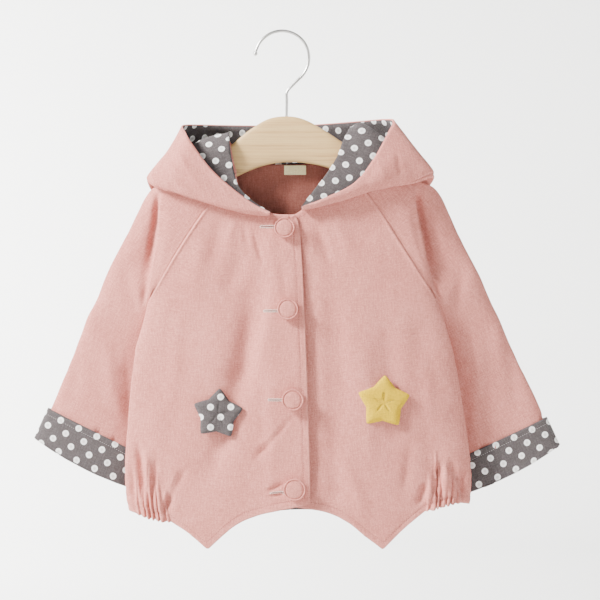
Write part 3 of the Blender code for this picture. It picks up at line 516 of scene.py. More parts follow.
def eased(flat, hung, rounds):
    # pulls the flat pattern's threads and diagonals towards their lengths on the hung piece
    spans = []
    for i, j in ((1, 0), (0, 1), (1, 1), (1, -1)):
        a = (slice(None, -i or None), slice(None, -1) if j == 1 else slice(1, None) if j else slice(None))
        b = (slice(i, None), slice(1, None) if j == 1 else slice(None, -1) if j else slice(None))
        spans.append((a, b, np.linalg.norm(hung[b] - hung[a], axis=-1, keepdims=True)))
    for _ in range(rounds):
        shift, count = np.zeros_like(flat), np.zeros(flat.shape[:2] + (1,))
        for a, b, rest in spans:
            way = flat[b] - flat[a]
            long = np.maximum(np.linalg.norm(way, axis=-1, keepdims=True), 1e-6)
            move = way * (0.5 * (long - rest) / long)
            shift[a] += move
            shift[b] -= move
            count[a] += 1.0
            count[b] += 1.0
        flat = flat + 1.3 * shift / count
    return flat


def laidFlat(hung, start):
    # first on a few of the grid's points, then on all of them
    picks = [sorted({round(step * (size - 1) / 14) for step in range(15)}) for size in start.shape[:2]]
    few = np.ix_(*picks)
    coarse = eased(start[few], hung[few], 900)
    shift = coarse - start[few]
    columns = np.stack([np.stack([np.interp(np.arange(start.shape[0]), picks[0], shift[:, j, k])
                                  for j in range(shift.shape[1])], axis=1) for k in (0, 1)], axis=-1)
    full = np.stack([np.stack([np.interp(np.arange(start.shape[1]), picks[1], columns[i, :, k])
                               for i in range(start.shape[0])]) for k in (0, 1)], axis=-1)
    return eased(start + full, hung, 60)


def clothPiece(name, columns, rows, place, relief, material, slotName, nodes, facing,
               lift=None, wall=None, anchor=0.0, grain=(0.0, 0.0), welded=False):
    # a grid laid over its solid's form, then raised along its own normals
    wide, tall = len(columns) - 1, len(rows) - 1
    mesh = bmesh.new()
    # painted highlight: a per-vertex share that makes the cloth paler just inside each edge, where pressed
    # edges catch the light
    edgeHighlight = mesh.verts.layers.float.new("edgeHighlight")
    layer = mesh.loops.layers.uv.new("cloth")
    bmesh.ops.create_grid(mesh, x_segments=wide, y_segments=tall, size=0.5)
    grid = {}
    for vert in mesh.verts:
        i, j = round((vert.co.x + 0.5) * wide), round((vert.co.y + 0.5) * tall)
        grid[i, j] = vert
        vert.co = place(columns[i], rows[j])
    across, down = {}, {}
    for i in range(wide + 1):
        for j in range(tall + 1):
            here = grid[i, j].co
            across[i, j] = across[i - 1, j] + (here - grid[i - 1, j].co).length if i else 0.0
            down[i, j] = down[i, j - 1] + (here - grid[i, j - 1].co).length if j else 0.0
    middle = round(anchor * wide)
    hung = np.array([[grid[i, j].co for j in range(tall + 1)] for i in range(wide + 1)])
    start = np.array([[(across[i, j] - across[middle, j], -down[i, j]) for j in range(tall + 1)]
                      for i in range(wide + 1)])
    pattern = laidFlat(hung, start) + np.array(grain)
    mesh.normal_update()
    probe = grid[wide // 2, tall // 2]
    if probe.normal.dot(facing(probe.co) if callable(facing) else Vector(facing)) < 0.0:
        bmesh.ops.reverse_faces(mesh, faces=mesh.faces)
        mesh.normal_update()
    normals = {key: vert.normal.copy() for key, vert in grid.items()}
    moved = {}
    for (i, j), vert in grid.items():
        spot = Spot(vert.co, across[i, j], across[wide, j] - across[i, j],
                    down[i, j], down[i, tall] - down[i, j])
        moved[i, j] = vert.co + normals[i, j] * ((body["lift"] if lift is None else lift) + relief(spot))
        edge = min(spot.left, spot.right, spot.top, spot.foot)
        # painted highlight, strongest about a millimetre inside each edge
        vert[edgeHighlight] = math.exp(-(((edge - 1.2) / 1.0) ** 2))
    lookup = {vert: key for key, vert in grid.items()}
    for face in mesh.faces:
        for loop in face.loops:
            loop[layer].uv = pattern[lookup[loop.vert]]
    for key, vert in grid.items():
        vert.co = moved[key] * mm
    area = sum(face.calc_area() for face in mesh.faces)
    if welded:
        bmesh.ops.remove_doubles(mesh, verts=mesh.verts, dist=0.02 * mm)
    surfaces[name] = BVHTree.FromBMesh(mesh)
    data = meshFrom(name, mesh)
    item = addPiece(name, data, material, slotName, *nodes)
    shell = item.modifiers.new("wall", "SOLIDIFY")
    shell.thickness = (wall or body["wall"]) * mm
    shell.offset = -1.0
    shell.use_even_offset = False
    print(f"{name}: {len(data.polygons)} faces, {area:.4f} m2")
    return item


def wave(share, height, seed):
    # outward only, and each gather dies out at its own height
    if share <= 0.0 or share >= 1.0 or height > body["waveHeight"]:
        return 0.0
    each = noise.noise(Vector((share * body["waves"] * 0.9, seed, 0.0)))
    lean = 0.5 * noise.noise(Vector((share * 3.0, seed, 4.0))) * height / body["waveHeight"]
    fade = clamp(1.0 - height / (body["waveHeight"] * (0.8 + 0.8 * each))) ** 1.4
    window = math.sin(math.pi * share) ** 0.5
    shape = (0.5 - 0.5 * math.cos(2 * math.pi * (body["waves"] * share + 0.5 * each + lean))) ** 0.8
    # the elastic draws the cloth in, and the ruffle opens again below it
    drawn = 1.0 - 0.45 * math.exp(-(((height - body["hemStitch"]) / 2.2) ** 2))
    return body["waveDepth"] * fade * window * shape * drawn * (1.0 + 0.5 * each)


def spaced(*parts):
    # shares along a side: (from, to, steps) one after another
    marks = [parts[0][0]]
    for low, high, steps in parts:
        marks += [mix(low, high, (step + 1) / steps) for step in range(steps)]
    return marks


def frontPlace(side):
    if side == "right":
        hem, neck, middle, sign = hemRight, neckRight, lapEdge, 1.0
        line, depth = sideLine("frontRight", "left"), lapY
    else:
        hem, neck, middle, sign = hemLeft, neckLeft[::-1], underlapEdge, -1.0
        line, depth = sideLine("frontLeft", "right"), frontY
    top = remembered(lambda s: along(neck, s))
    bottom = remembered(lambda s: stretches(hem, hemStops, s))
    inner = remembered(lambda s: along(middle, s))
    outer = remembered(line)

    def place(u, v):
        flat = coons(top, bottom, outer, inner, u, v)
        share = (u - body["waveFrom"]) / (hemStops[0] - body["waveFrom"])
        height = flat.y - bottom(u).y
        ripple = wave(share, height, 3.0 if side == "right" else 8.0)
        y = depth(flat.x, flat.y) - ripple
        frill = 0.4 * ripple * math.exp(-height / 5.0)     # the ruffle's edge is uneven
        return Vector((flat.x + sign * 0.06 * (1.0 - u), y, flat.y - frill))

    return place


def frontRelief(side):
    name = "frontRight" if side == "right" else "frontLeft"
    seed = 11.0 if side == "right" else 23.0
    lap = 1.0 if side == "right" else 0.0

    def relief(spot):
        rise = creased(name, spot.p.x, spot.p.z) + unrest(spot.p, seed)
        calm = ease(min(spot.left, spot.right, spot.top, spot.foot), 0.0, 9.0)
        rise *= 0.35 + 0.65 * calm
        if spot.top < 180.0:
            # the raglan seam's allowance lies under the front and lifts its edge
            rise += 0.8 * math.exp(-(((spot.left - 2.2) / 1.3) ** 2))
        rise += rolled(spot.left, 1.5, 1.0) + rolled(spot.top, 1.2, 0.5)
        rise += pucker(spot.left, spot.top, 4.5, 0.9, 6.0, seed)
        rise += pucker(spot.top, spot.left, 3.6, 1.2, 8.0, seed + 2.0)
        rise += pucker(spot.foot, spot.left, 5.0, 0.9, 6.0, seed + 4.0)
        rise += channel(spot.foot, body["hemStitch"])
        if spot.right < 14.0:
            rise += lap * channel(spot.right, body["lapStitch"])
            rise += lap * pucker(spot.right, spot.top, 5.0, 0.5, 5.0, seed + 6.0)
        return rise

    return relief


sideColumns = spaced((0.0, 0.04, 8), (0.04, 0.19, 66), (0.19, 0.9, 56), (0.9, 1.0, 14))
evenRows = spaced((0.0, 0.06, 9), (0.06, 0.9, 106), (0.9, 1.0, 24))
for side in ("right", "left"):
    clothPiece(
        f"front{side.capitalize()}", sideColumns, evenRows, frontPlace(side), frontRelief(side),
        pinkCloth, "shell_cloth", (f"front_{side}",), (0.0, -1.0, 0.0), anchor=1.0)


@remembered
def backHem(u):
    first, second = backStops
    if u > 1.0 - second:
        return stretches(hemLeft[:2], (first / second,), (1.0 - u) / second)
    if u < second:
        return stretches(hemRight[:2], (first / second,), u / second)
    return along(hemBackMiddle, (u - second) / (1.0 - 2.0 * second))


backTop = remembered(lambda s: along(neckBack, s))
backLeftLine = remembered(sideLine("backRight", "left"))
backRightLine = remembered(sideLine("backLeft", "right"))


def backPlace(u, v):
    flat = coons(backTop, backHem, backLeftLine, backRightLine, u, v)
    nearest = min(u, 1.0 - u)
    share = (nearest - body["waveFrom"] / 2) / (backStops[0] - body["waveFrom"] / 2)
    ripple = wave(share, flat.y - backHem(u).y, 15.0 if u < 0.5 else 19.0)
    return Vector((flat.x + 0.06 * (1.0 - 2.0 * u), backY(flat.x, flat.y) + ripple, flat.y))


def backRelief(spot):
    rise = creased("back", spot.p.x, spot.p.z) + unrest(spot.p, 37.0)
    calm = ease(min(spot.left, spot.right, spot.top, spot.foot), 0.0, 9.0)
    rise *= 0.35 + 0.65 * calm
    side = min(spot.left, spot.right)
    rise += rolled(side) + rolled(spot.top, 1.2, 0.5)
    rise += pucker(side, spot.top, 4.5, 0.9, 6.0, 39.0)
    rise += pucker(spot.top, spot.left, 3.6, 0.9, 7.0, 41.0)
    rise += pucker(spot.foot, spot.left, 5.0, 0.9, 6.0, 43.0)
    return rise + channel(spot.foot, body["hemStitch"])


backColumns = spaced((0.0, 0.02, 6), (0.02, 0.1, 60), (0.1, 0.9, 84), (0.9, 0.98, 60), (0.98, 1.0, 6))
back = clothPiece(
    "backPanel", backColumns, evenRows, backPlace, backRelief, pinkCloth, "shell_cloth",
    ("back",), (0.0, 1.0, 0.0), anchor=0.5)
# the back panel's inner face takes the darker copy: painted shade
back.data.materials.append(pinkInsidePaintedShade)
back.modifiers["wall"].material_offset = 1

hemBand = {"span": (0.3, 0.7), "height": 24.0, "layer": 2.2}


def bandPlace(u, v):
    foot = backHem(mix(*hemBand["span"], u))
    z = foot.y + hemBand["height"] * (1.0 - v)
    return Vector((foot.x, backY(foot.x, z) - hemBand["layer"], z))


clothPiece(
    "hemFacing", spaced((0.0, 1.0, 90)), spaced((0.0, 1.0, 16)), bandPlace,
    lambda spot: 0.25 * noise.noise(spot.p / 9.0) + rolled(spot.foot, 1.5, -0.3), greyDots,
    "dotted_cloth", ("hem_facing_back",), (0.0, -1.0, 0.0), grain=(3.0, 4.0))
print("body sewn")

sleeve = {
    "rows": 15, "frontKeys": (0.0, 0.12, 0.25, 0.38, 0.52, 0.75, 1.0), "backKeys": (1.22, 1.5, 1.84, 2.0),
    "foldEdge": -2.4, "underarmGap": 1.6, "rearGap": 1.5, "flatten": 0.8, "under": 1.0,
}
Sleeve = namedtuple("Sleeve", "row outerX outerZ foldX foldZ tuck middle inner half")
sleeveRows = {
    "right": (
        Sleeve(0, -57.0, -118.6, -53.5, -135.0, 0.0, 0.0, 0.0, 9.4),
        Sleeve(3, -112.5, -152.0, -104.0, -172.0, 0.0, 0.0, 0.0, 9.6),
        Sleeve(4, -133.5, -165.5, -126.5, -178.0, 0.0, 3.0, 0.0, 8.6),
        Sleeve(5, -149.5, -180.5, -133.5, -199.0, 5.5, 11.2, 0.0, 7.4),
        Sleeve(6, -169.0, -217.5, -137.5, -239.0, 5.5, 12.6, 0.0, 7.4),
        Sleeve(7, -189.0, -257.0, -142.8, -290.6, 0.0, 12.6, 0.6, 7.0),
        Sleeve(8, -202.0, -289.0, -144.2, -313.0, 0.0, 15.4, 8.0, 7.0),
        Sleeve(9, -213.0, -313.5, -148.6, -342.0, 0.0, 18.0, 15.5, 7.2),
        Sleeve(11, -234.0, -364.0, -150.6, -404.0, 0.0, 20.5, 20.0, 7.6),
        Sleeve(13, -255.1, -413.4, -153.0, -464.0, 0.0, 21.5, 21.5, 8.2),
        Sleeve(15, -267.5, -441.5, -165.0, -494.0, 0.0, 22.0, 22.0, 8.4),
    ),
    "left": (
        Sleeve(0, 68.5, -118.0, 65.0, -128.0, 0.0, 0.0, 0.0, 9.4),
        Sleeve(3, 123.5, -151.0, 115.0, -167.0, 0.0, 0.0, 0.0, 9.6),
        Sleeve(4, 146.0, -162.0, 138.0, -174.0, 0.0, 3.0, 0.0, 8.6),
        Sleeve(5, 169.5, -172.5, 146.0, -197.0, 5.5, 11.2, 0.0, 7.4),
        Sleeve(6, 191.0, -217.0, 155.5, -239.0, 5.5, 12.6, 0.0, 7.4),
        Sleeve(7, 212.0, -257.5, 166.6, -290.6, 0.0, 12.6, 0.6, 7.0),
        Sleeve(8, 226.0, -288.0, 169.4, -313.0, 0.0, 15.4, 8.0, 7.0),
        Sleeve(9, 238.5, -316.0, 174.5, -342.0, 0.0, 18.0, 15.5, 7.2),
        Sleeve(11, 264.0, -370.0, 181.0, -406.0, 0.0, 20.5, 20.0, 7.6),
        Sleeve(13, 288.9, -423.5, 187.0, -471.0, 0.0, 21.5, 21.5, 8.2),
        Sleeve(15, 300.5, -449.5, 198.5, -501.0, 0.0, 22.0, 22.0, 8.4),
    ),
}
Tuck = namedtuple("Tuck", "plain out tuck deep")
tuckSteps = (Tuck(0.2, 0.0, 1.0, -1.2), Tuck(0.45, 0.1, 0.35, 0.9), Tuck(0.75, 0.6, 0.0, 0.0))


def flattened(angle):
    return math.copysign(abs(math.sin(angle)) ** sleeve["flatten"], math.sin(angle))


def sleeveKeys(side, row):
    # key points round the sleeve, from the front seam to the back one
    here = rowAt(sleeveRows[side], row)
    outer, fold = Vector((here.outerX, here.outerZ)), Vector((here.foldX, here.foldZ))
    keys = []
    if row >= body["raglanRows"]:
        for key in (*sleeve["frontKeys"], *sleeve["backKeys"]):
            angle = math.pi * key
            across = 0.5 - 0.5 * math.cos(angle)
            flat = fold.lerp(outer, across)
            middle = here.middle + (here.inner - here.middle) * (1.0 - across) ** 2
            y = middle - here.half * flattened(angle)
            y += sleeve["underarmGap"] * (key - 1.0) / 2 * abs(key - 1.0)
            keys.append(Vector((flat.x, y, flat.y)))
        return keys
    sign = 1.0 if side == "right" else -1.0
    title = side.capitalize()
    own = ease(row, 3.9, 5.2)
    seam = along(raglan["front" + title], row / body["raglanRows"])
    rear = along(raglan["back" + title], row / body["raglanRows"])
    # the sleeve's edge runs on a little under the front, and a little over the back
    keys.append(Vector((seam.x + sleeve["under"] * sign, frontY(*seam) + 0.9, seam.y)))
    middle = seam.lerp(fold, 0.5)
    keys.append(Vector((middle.x, frontY(*middle), middle.y)))
    keys.append(Vector((fold.x, mix(frontY(*fold), sleeve["foldEdge"], own), fold.y)))
    for step in tuckSteps:
        flat = fold.lerp(outer, mix(step.plain, step.out, own))
        flat.x += here.tuck * sign * step.tuck
        deep = here.middle - here.half + step.deep
        keys.append(Vector((flat.x, mix(frontY(*flat), deep, own), flat.y)))
    keys.append(Vector((outer.x, mix(0.0, here.middle, own), outer.y)))
    for share in (0.14, 0.42, 0.72):
        flat = outer.lerp(rear, share)
        deep = mix(here.middle + here.half, backY(*rear), ease(share, 0.3, 1.0))
        keys.append(Vector((flat.x, mix(backY(*flat), deep, own), flat.y)))
    over = backY(*rear) + 0.6 + sleeve["rearGap"] * own
    keys.append(Vector((rear.x + sleeve["under"] * sign, over, rear.y)))
    return keys


@remembered
def sleeveColumn(side, u):
    # the rings stand at whole rows, and a smooth line runs down from one to the next
    return [along(sleeveKeys(side, row), u) for row in range(sleeve["rows"] + 1)]


def sleevePiece(side):
    title = side.capitalize()
    seed = 51.0 if side == "right" else 67.0

    def relief(spot):
        rise = creased("sleeve" + title, spot.p.x, spot.p.z) + unrest(spot.p, seed)
        seam = min(spot.left, spot.right)
        rise *= 0.4 + 0.6 * ease(min(seam, spot.foot, spot.top), 0.0, 9.0)
        rise += rolled(seam) + pucker(seam, spot.top, 4.5, 0.8, 6.0, seed + 1.0)
        return rise + pucker(spot.foot, spot.left, 6.0, 0.7, 9.0, seed + 2.0)

    clothPiece(
        "sleeve" + title, spaced((0.0, 1.0, 120)), spaced((0.0, 1.0, 112)),
        lambda u, v: along(sleeveColumn(side, u), v), relief, pinkCloth, "shell_cloth",
        (f"sleeve_front_{side}", f"sleeve_back_{side}"),
        lambda p: Vector((-1.0 if side == "right" else 1.0, 0.0, 0.3)),
        anchor=0.55)


for side in ("right", "left"):
    sleevePiece(side)
print("sleeves set in")

cuff = {"from": 12.95, "to": 15.3, "grow": 2.4, "ease": 1.2, "return": 0.3, "stitch": 5.4,
        "stitchRow": 13.35, "sag": 4.5}


def cuffPiece(side):
    # turned-back band: down the outside, round the fold, and up inside the sleeve
    last = sleeveRows[side][-1]
    before = rowAt(sleeveRows[side], 13.0)
    inside = 1.0 - cuff["return"]
    sag = Vector((last.outerX + last.foldX - before.outerX - before.foldX,
                  last.outerZ + last.foldZ - before.outerZ - before.foldZ)).normalized()

    def place(u, v):
        outerPart = min(v / inside, 1.0)
        row = mix(cuff["from"], cuff["to"], outerPart)
        turn = clamp((v - inside) / cuff["return"])
        row -= 0.9 * turn
        here = rowAt(sleeveRows[side], row)
        over = max(row - 15.0, 0.0) / 2.0
        run = Vector((last.outerX - before.outerX, last.outerZ - before.outerZ)) * over
        outer = Vector((here.outerX, here.outerZ)) + run
        inner = Vector((here.foldX, here.foldZ)) + run
        grow = cuff["grow"] + 0.5 * outerPart - 4.4 * ease(turn, 0.0, 0.35)
        spread = (outer - inner).normalized() * (grow + (cuff["ease"] if grow > 0 else -0.4))
        angle = 2.0 * math.pi * u
        across = 0.5 - 0.5 * math.cos(angle)
        flat = (inner - spread).lerp(outer + spread, across)
        flat += cuff["sag"] * outerPart * 4.0 * across * (1.0 - across) * sag
        return Vector((flat.x, here.middle - (here.half + grow) * flattened(angle), flat.y))

    seed = 81.0 if side == "right" else 87.0

    def relief(spot):
        rise = 0.35 * noise.noise(spot.p / 14.0 + Vector((seed, 0.0, 0.0)))
        rise += pucker(spot.top, spot.left, 6.0, 0.7, 7.0, seed)
        return rise + channel(spot.top, cuff["stitch"], 0.8, 0.25)

    clothPiece(
        "cuff" + side.capitalize(), spaced((0.0, 1.0, 144)),
        spaced((0.0, 0.66, 24), (0.66, 0.8, 12), (0.8, 1.0, 8)), place, relief, greyDots,
        "dotted_cloth", (f"cuff_{side}",), lambda p: Vector((0.0, 1.0, 0.0)), wall=0.9, lift=0.1,
        anchor=0.25, grain=(2.0, -7.5) if side == "right" else (5.0, -7.5), welded=True)


for side in ("right", "left"):
    cuffPiece(side)
print("cuffs turned back")

hood = {"wall": 1.0, "round": 3.4, "lean": 0.35, "layer": 0.3, "gap": 0.15, "rim": 0.95}
Hood = namedtuple("Hood", "neck under fold over edge")
hoodRows = {
    "right": (
        Hood((-12, -17.9, -196.6), (-12.3, -17.9, -197.8), (-12.6, -21.3, -200.4),
             (-12.8, -24.9, -199.0), (-13, -24.9, -198.0)),
        Hood((-33, -16.0, -183.5), (-35, -16.3, -188.5), (-38, -20.2, -197.6),
             (-37.5, -24.8, -190), (-36.5, -24.6, -185.3)),
        Hood((-48, -15.6, -166), (-62, -17, -180), (-77, -20.6, -187),
             (-77, -25.6, -170), (-74, -26.4, -154.2)),
        Hood((-54.5, -13.6, -138), (-84, -16, -156), (-111, -18.6, -176),
             (-107, -25, -150), (-98.6, -22, -122)),
        Hood((-56.8, -11.6, -120), (-94, -12.6, -138), (-135, -13.6, -167.6),
             (-120, -17, -139), (-105.5, -12, -110)),
        Hood((-57, 0.0, -109.8), (-92, -1.0, -121), (-145.0, -2.5, -160.5),
             (-124.5, -4, -131), (-109, 0.0, -103.4)),
        Hood((-54, 12.6, -121), (-92, 15, -140), (-133, 25, -181),
             (-124, 33, -142), (-103, 20, -99.6)),
        Hood((-37, 15, -136.4), (-64, 20, -176), (-88, 36, -222),
             (-86, 50, -160), (-66, 37, -98.8)),
        Hood((-17, 15.4, -140.6), (-31, 21.5, -192), (-43, 40, -247),
             (-41, 57, -172), (-30, 43, -98.8)),
        Hood((4.9, 15.6, -141.6), (4.9, 22.5, -198), (4.9, 42, -256),
             (4.9, 60, -176), (4.9, 45.5, -99)),
    ),
    "left": (
        Hood((21, -15.4, -190.6), (21.2, -15.4, -191.8), (21.4, -18.8, -194.6),
             (21.6, -22.4, -193.2), (21.8, -22.4, -192.0)),
        Hood((33, -15.2, -175), (38, -15.6, -181), (44, -19.4, -189.6),
             (46, -24.8, -184.6), (46, -25, -182.8)),
        Hood((47, -15.6, -157), (62, -17, -170), (79, -20.6, -179),
             (80, -25.6, -172), (78.5, -26, -166.4)),
        Hood((59.5, -13.6, -137), (86, -16, -150), (112, -18.6, -169.4),
             (108, -25, -154), (99.7, -23, -140)),
        Hood((66.5, -11.6, -118.6), (96, -12.6, -124), (141, -13.6, -162.6),
             (130, -17, -136), (115, -12, -112)),
        Hood((74.5, 0.0, -104.5), (94, -2.0, -104), (163.0, -2.5, -154.0),
             (145.5, -4, -128), (121.5, 0.0, -97.4)),
        Hood((65, 12.6, -120), (102, 15, -134), (148, 25, -176),
             (139, 33, -137), (113, 20, -93.6)),
        Hood((47, 15, -136), (74, 20, -172), (98, 36, -219),
             (96, 50, -156), (78, 37, -95)),
        Hood((27, 15.4, -140.4), (41, 21.5, -190), (53, 40, -246),
             (51, 57, -170), (40, 43, -97.4)),
        Hood((4.9, 15.6, -141.6), (4.9, 22.5, -198), (4.9, 42, -256),
             (4.9, 60, -176), (4.9, 45.5, -99)),
    ),
}


@remembered
def hoodRow(side, turn):
    rows = hoodRows[side]
    neck, under, fold, over, edge = (
        along([getattr(row, column) for row in rows], turn) for column in Hood._fields
    )
    down = (fold - (under + over) / 2).normalized()
    across = over - under
    across = Vector((hood["lean"] * across.x, across.y, hood["lean"] * across.z))
    across = (across - down * across.dot(down)).normalized()
    bend = hood["round"] * mix(0.22, 1.0, ease(turn, 0.0, 0.12))   # the front ends lie flat
    inner = fold - (down + across) * bend
    outer = fold - (down - across) * bend
    return neck, under, inner, fold, outer, over, edge


def hoodPoint(side, turn, step):
    p = along(hoodRow(side, turn), step)
    p.x += hood["gap"] * (-1.0 if side == "right" else 1.0) * turn ** 6
    return p


def hoodPiece(side, layer):
    title = side.capitalize()
    shell = layer == "shell"
    seed = {"right": 101.0, "left": 113.0}[side] + (0.0 if shell else 5.0)

    def facing(p):
        # the shell looks away from the trough between the two halves of each row
        trough = hoodPoint(side, 0.5, 0.12).lerp(hoodPoint(side, 0.5, 0.88), 0.5)
        return (p - trough) * (1.0 if shell else -1.0)

    def place(u, v):
        # the shell stays a little short of the lining where that turns over at the flap
        short = 0.02 + 0.06 * math.exp(-(((u - 0.5) / 0.16) ** 2))
        return hoodPoint(side, u, mix(short, 1.0, v) if shell else v)

    def relief(spot):
        rise = 0.5 * unrest(spot.p, seed)
        if shell and spot.p.y < 0.0:
            rise += creased("hood" + title, spot.p.x, spot.p.z)
        rise *= ease(min(spot.foot, spot.top), 0.0, 8.0)
        if shell:
            rise += pucker(spot.foot, spot.left, 5.0, 0.5, 5.0, seed)
        return rise + rolled(spot.right, 1.5, 0.6 if shell else 0.0)

    clothPiece(
        f"hood{layer.capitalize()}{title}", spaced((0.0, 1.0, 112)),
        spaced((0.0, 0.28, 20), (0.28, 0.62, 40), (0.62, 1.0, 26)),
        place, relief, pinkCloth if shell else greyDots,
        "shell_cloth" if shell else "dotted_cloth", (f"hood_{layer}_{side}",), facing,
        lift=hood["layer"] + hood["wall"], wall=hood["wall"],
        grain=(4.0, 6.0) if side == "right" else (0.0, 2.0))


for side in ("right", "left"):
    for layer in ("shell", "lining"):
        hoodPiece(side, layer)


def tube(name, points, radius, material, slotName, sides=8, nodes=()):
    # a round line through points, in metres, closed at both ends
    curve = bpy.data.curves.new(name, "CURVE")
    curve.dimensions = "3D"
    curve.bevel_depth = radius
    curve.bevel_resolution = sides // 2 - 1
    curve.use_fill_caps = True
    line = curve.splines.new("POLY")
    line.points.add(len(points) - 1)
    for place, point in zip(line.points, points):
        place.co = (*point, 1.0)
    holder = bpy.data.objects.new(name + "Line", curve)
    bpy.context.scene.collection.objects.link(holder)
    data = bpy.data.meshes.new_from_object(holder.evaluated_get(bpy.context.evaluated_depsgraph_get()))
    bpy.data.objects.remove(holder)
    data.name = name
    return addPiece(name, data, material, slotName, *nodes)


for side in ("right", "left"):
    line = [hoodPoint(side, step / 140, 1.0) * mm for step in range(141)]
    tube("hoodRim" + side.capitalize(), line, hood["rim"] * mm, pinkCloth, "shell_cloth")
print("hood lined")


def layStitches(name, surface, lines, material, slotName, pitch=2.5, length=1.6, thick=0.3,
                proud=0.1, facing=None):
    # running stitches along lines of points in mm, each laid on the cloth's own face
    tree = surfaces[surface]
    mesh = bmesh.new()
    count = 0
    for points in lines:
        points = [Vector(p) * mm for p in points]
        total = sum((b - a).length for a, b in zip(points, points[1:]))
        steps = max(int(total / (pitch * mm)), 1)
        index, passed = 0, 0.0
        for step in range(steps):
            target = (step + 0.5) * total / steps
            while index < len(points) - 2 and passed + (points[index + 1] - points[index]).length < target:
                passed += (points[index + 1] - points[index]).length
                index += 1
            a, b = points[index], points[index + 1]
            p = a.lerp(b, (target - passed) / max((b - a).length, 1e-9))
            spot, normal, _, _ = tree.find_nearest(p)
            if spot is None:
                continue
            if facing is not None and normal.dot(Vector(facing)) < 0.0:
                normal = -normal
            way = b - a
            way = (way - normal * way.dot(normal)).normalized()
            beside = normal.cross(way)
            turn = Matrix((way, beside, normal)).transposed().to_4x4()
            size = Matrix.Diagonal((length / 2 * mm, thick * mm, thick * mm, 1.0))
            place = Matrix.Translation(spot + normal * proud * mm)
            bmesh.ops.create_icosphere(mesh, subdivisions=1, radius=1.0, matrix=place @ turn @ size)
            count += 1
    print(f"{name}: {count} stitches")
    addPiece(name, meshFrom(name, mesh), material, slotName)


def insideLine(place, low, high, steps, depth, stride):
    # points at a fixed distance inside an edge, found by walking in from it
    points = []
    for step in range(steps + 1):
        share = mix(low, high, step / steps)
        before, at, run = place(share, 1.0), 1.0, 0.0
        while run < depth:
            at -= stride
            after = place(share, at)
            run += (after - before).length
            before = after
        points.append(before)
    return points


rightPlace, leftPlace = frontPlace("right"), frontPlace("left")
for name, surface, place, steps, outward in (
    ("stitchHemRight", "frontRight", rightPlace, 150, (0, -1, 0)),
    ("stitchHemLeft", "frontLeft", leftPlace, 150, (0, -1, 0)),
    ("stitchHemBack", "backPanel", backPlace, 260, (0, 1, 0)),
):
    line = insideLine(place, 0.0, 1.0, steps, body["hemStitch"], 0.002)
    layStitches(name, surface, [line], pinkThread, "shell_cloth", facing=outward)
line = insideLine(lambda v, u: rightPlace(u, v), 0.035, 0.975, 160, body["lapStitch"], 0.003)
layStitches("stitchLap", "frontRight", [line], pinkThread, "shell_cloth", facing=(0, -1, 0))
neckLow = [leftPlace(mix(0.74, 0.1, s / 60), 0.018 + 0.004 * math.sin(s / 9.0)) for s in range(61)]
layStitches("stitchNeck", "frontLeft", [neckLow], pinkThread, "shell_cloth", pitch=2.1, facing=(0, -1, 0))

for side in ("right", "left"):
    here = rowAt(sleeveRows[side], cuff["stitchRow"])
    outer, inner = Vector((here.outerX, here.outerZ)), Vector((here.foldX, here.foldZ))
    spread = (outer - inner).normalized() * (cuff["grow"] + cuff["ease"])
    ring = []
    for s in range(121):
        angle = 2.0 * math.pi * s / 120
        flat = (inner - spread).lerp(outer + spread, 0.5 - 0.5 * math.cos(angle))
        ring.append(Vector((flat.x, here.middle - (here.half + cuff["grow"]) * flattened(angle), flat.y)))
    title = side.capitalize()
    layStitches("stitchCuff" + title, "cuff" + title, [ring], greyThread, "dotted_cloth")
print("seams stitched")

tape = {"x": (2.2, 26.2), "z": (-144.5, -155.0), "off": 1.5}


def tapePlace(u, v):
    x, z = mix(*tape["x"], u), mix(*tape["z"], v)
    return Vector((x, backY(x, z) - tape["off"], z))


clothPiece(
    "neckLabel", spaced((0.0, 1.0, 28)), spaced((0.0, 1.0, 14)), tapePlace,
    lambda spot: 0.2 * noise.noise(spot.p / 6.0) - 0.25 * math.exp(-((spot.foot / 1.2) ** 2)),
    creamTape, "label_tape", ("neck_label",), (0.0, -1.0, 0.0), wall=0.5, lift=0.3)
rowsOfTape = [[tapePlace(s / 20, v) for s in range(21)] for v in (0.12, 0.88)]
layStitches("stitchLabel", "neckLabel", rowsOfTape, creamTape, "label_tape", pitch=1.9, length=1.2,
            thick=0.15, facing=(0, -1, 0))

Button = namedtuple("Button", "x z diameter hole")
buttons = (
    Button(2.8, -214.2, 22.2, -212.6), Button(6.5, -302.0, 22.6, -303.8),
    Button(11.7, -399.7, 23.5, -399.7), Button(13.7, -496.0, 24.0, -499.8),
)
button = {
    "steps": 48, "hole": 27.0, "seat": 1.0,
    "profile": (            # share of the radius, and height: domed face, groove and rolled rim
        (0.0, 7.0), (0.4, 6.95), (0.68, 6.6), (0.78, 5.9), (0.83, 5.0), (0.865, 5.6), (0.91, 6.5),
        (0.955, 6.5), (0.99, 5.6), (1.0, 4.2), (0.985, 2.6), (0.93, 1.1), (0.84, 0.4), (0.0, 0.3),
    ),
}


def lathed(profile, steps):
    # a line of (radius, height) points, turned once round the upright axis
    mesh = bmesh.new()
    verts = [mesh.verts.new((radius, 0.0, height)) for radius, height in profile]
    lines = [mesh.edges.new(pair) for pair in zip(verts, verts[1:])]
    bmesh.ops.spin(mesh, geom=verts + lines, cent=(0, 0, 0), axis=(0, 0, 1), angle=2.0 * math.pi,
                   steps=steps, use_merge=True)
    bmesh.ops.remove_doubles(mesh, verts=mesh.verts, dist=0.001)
    bmesh.ops.recalc_face_normals(mesh, faces=mesh.faces)
    return mesh


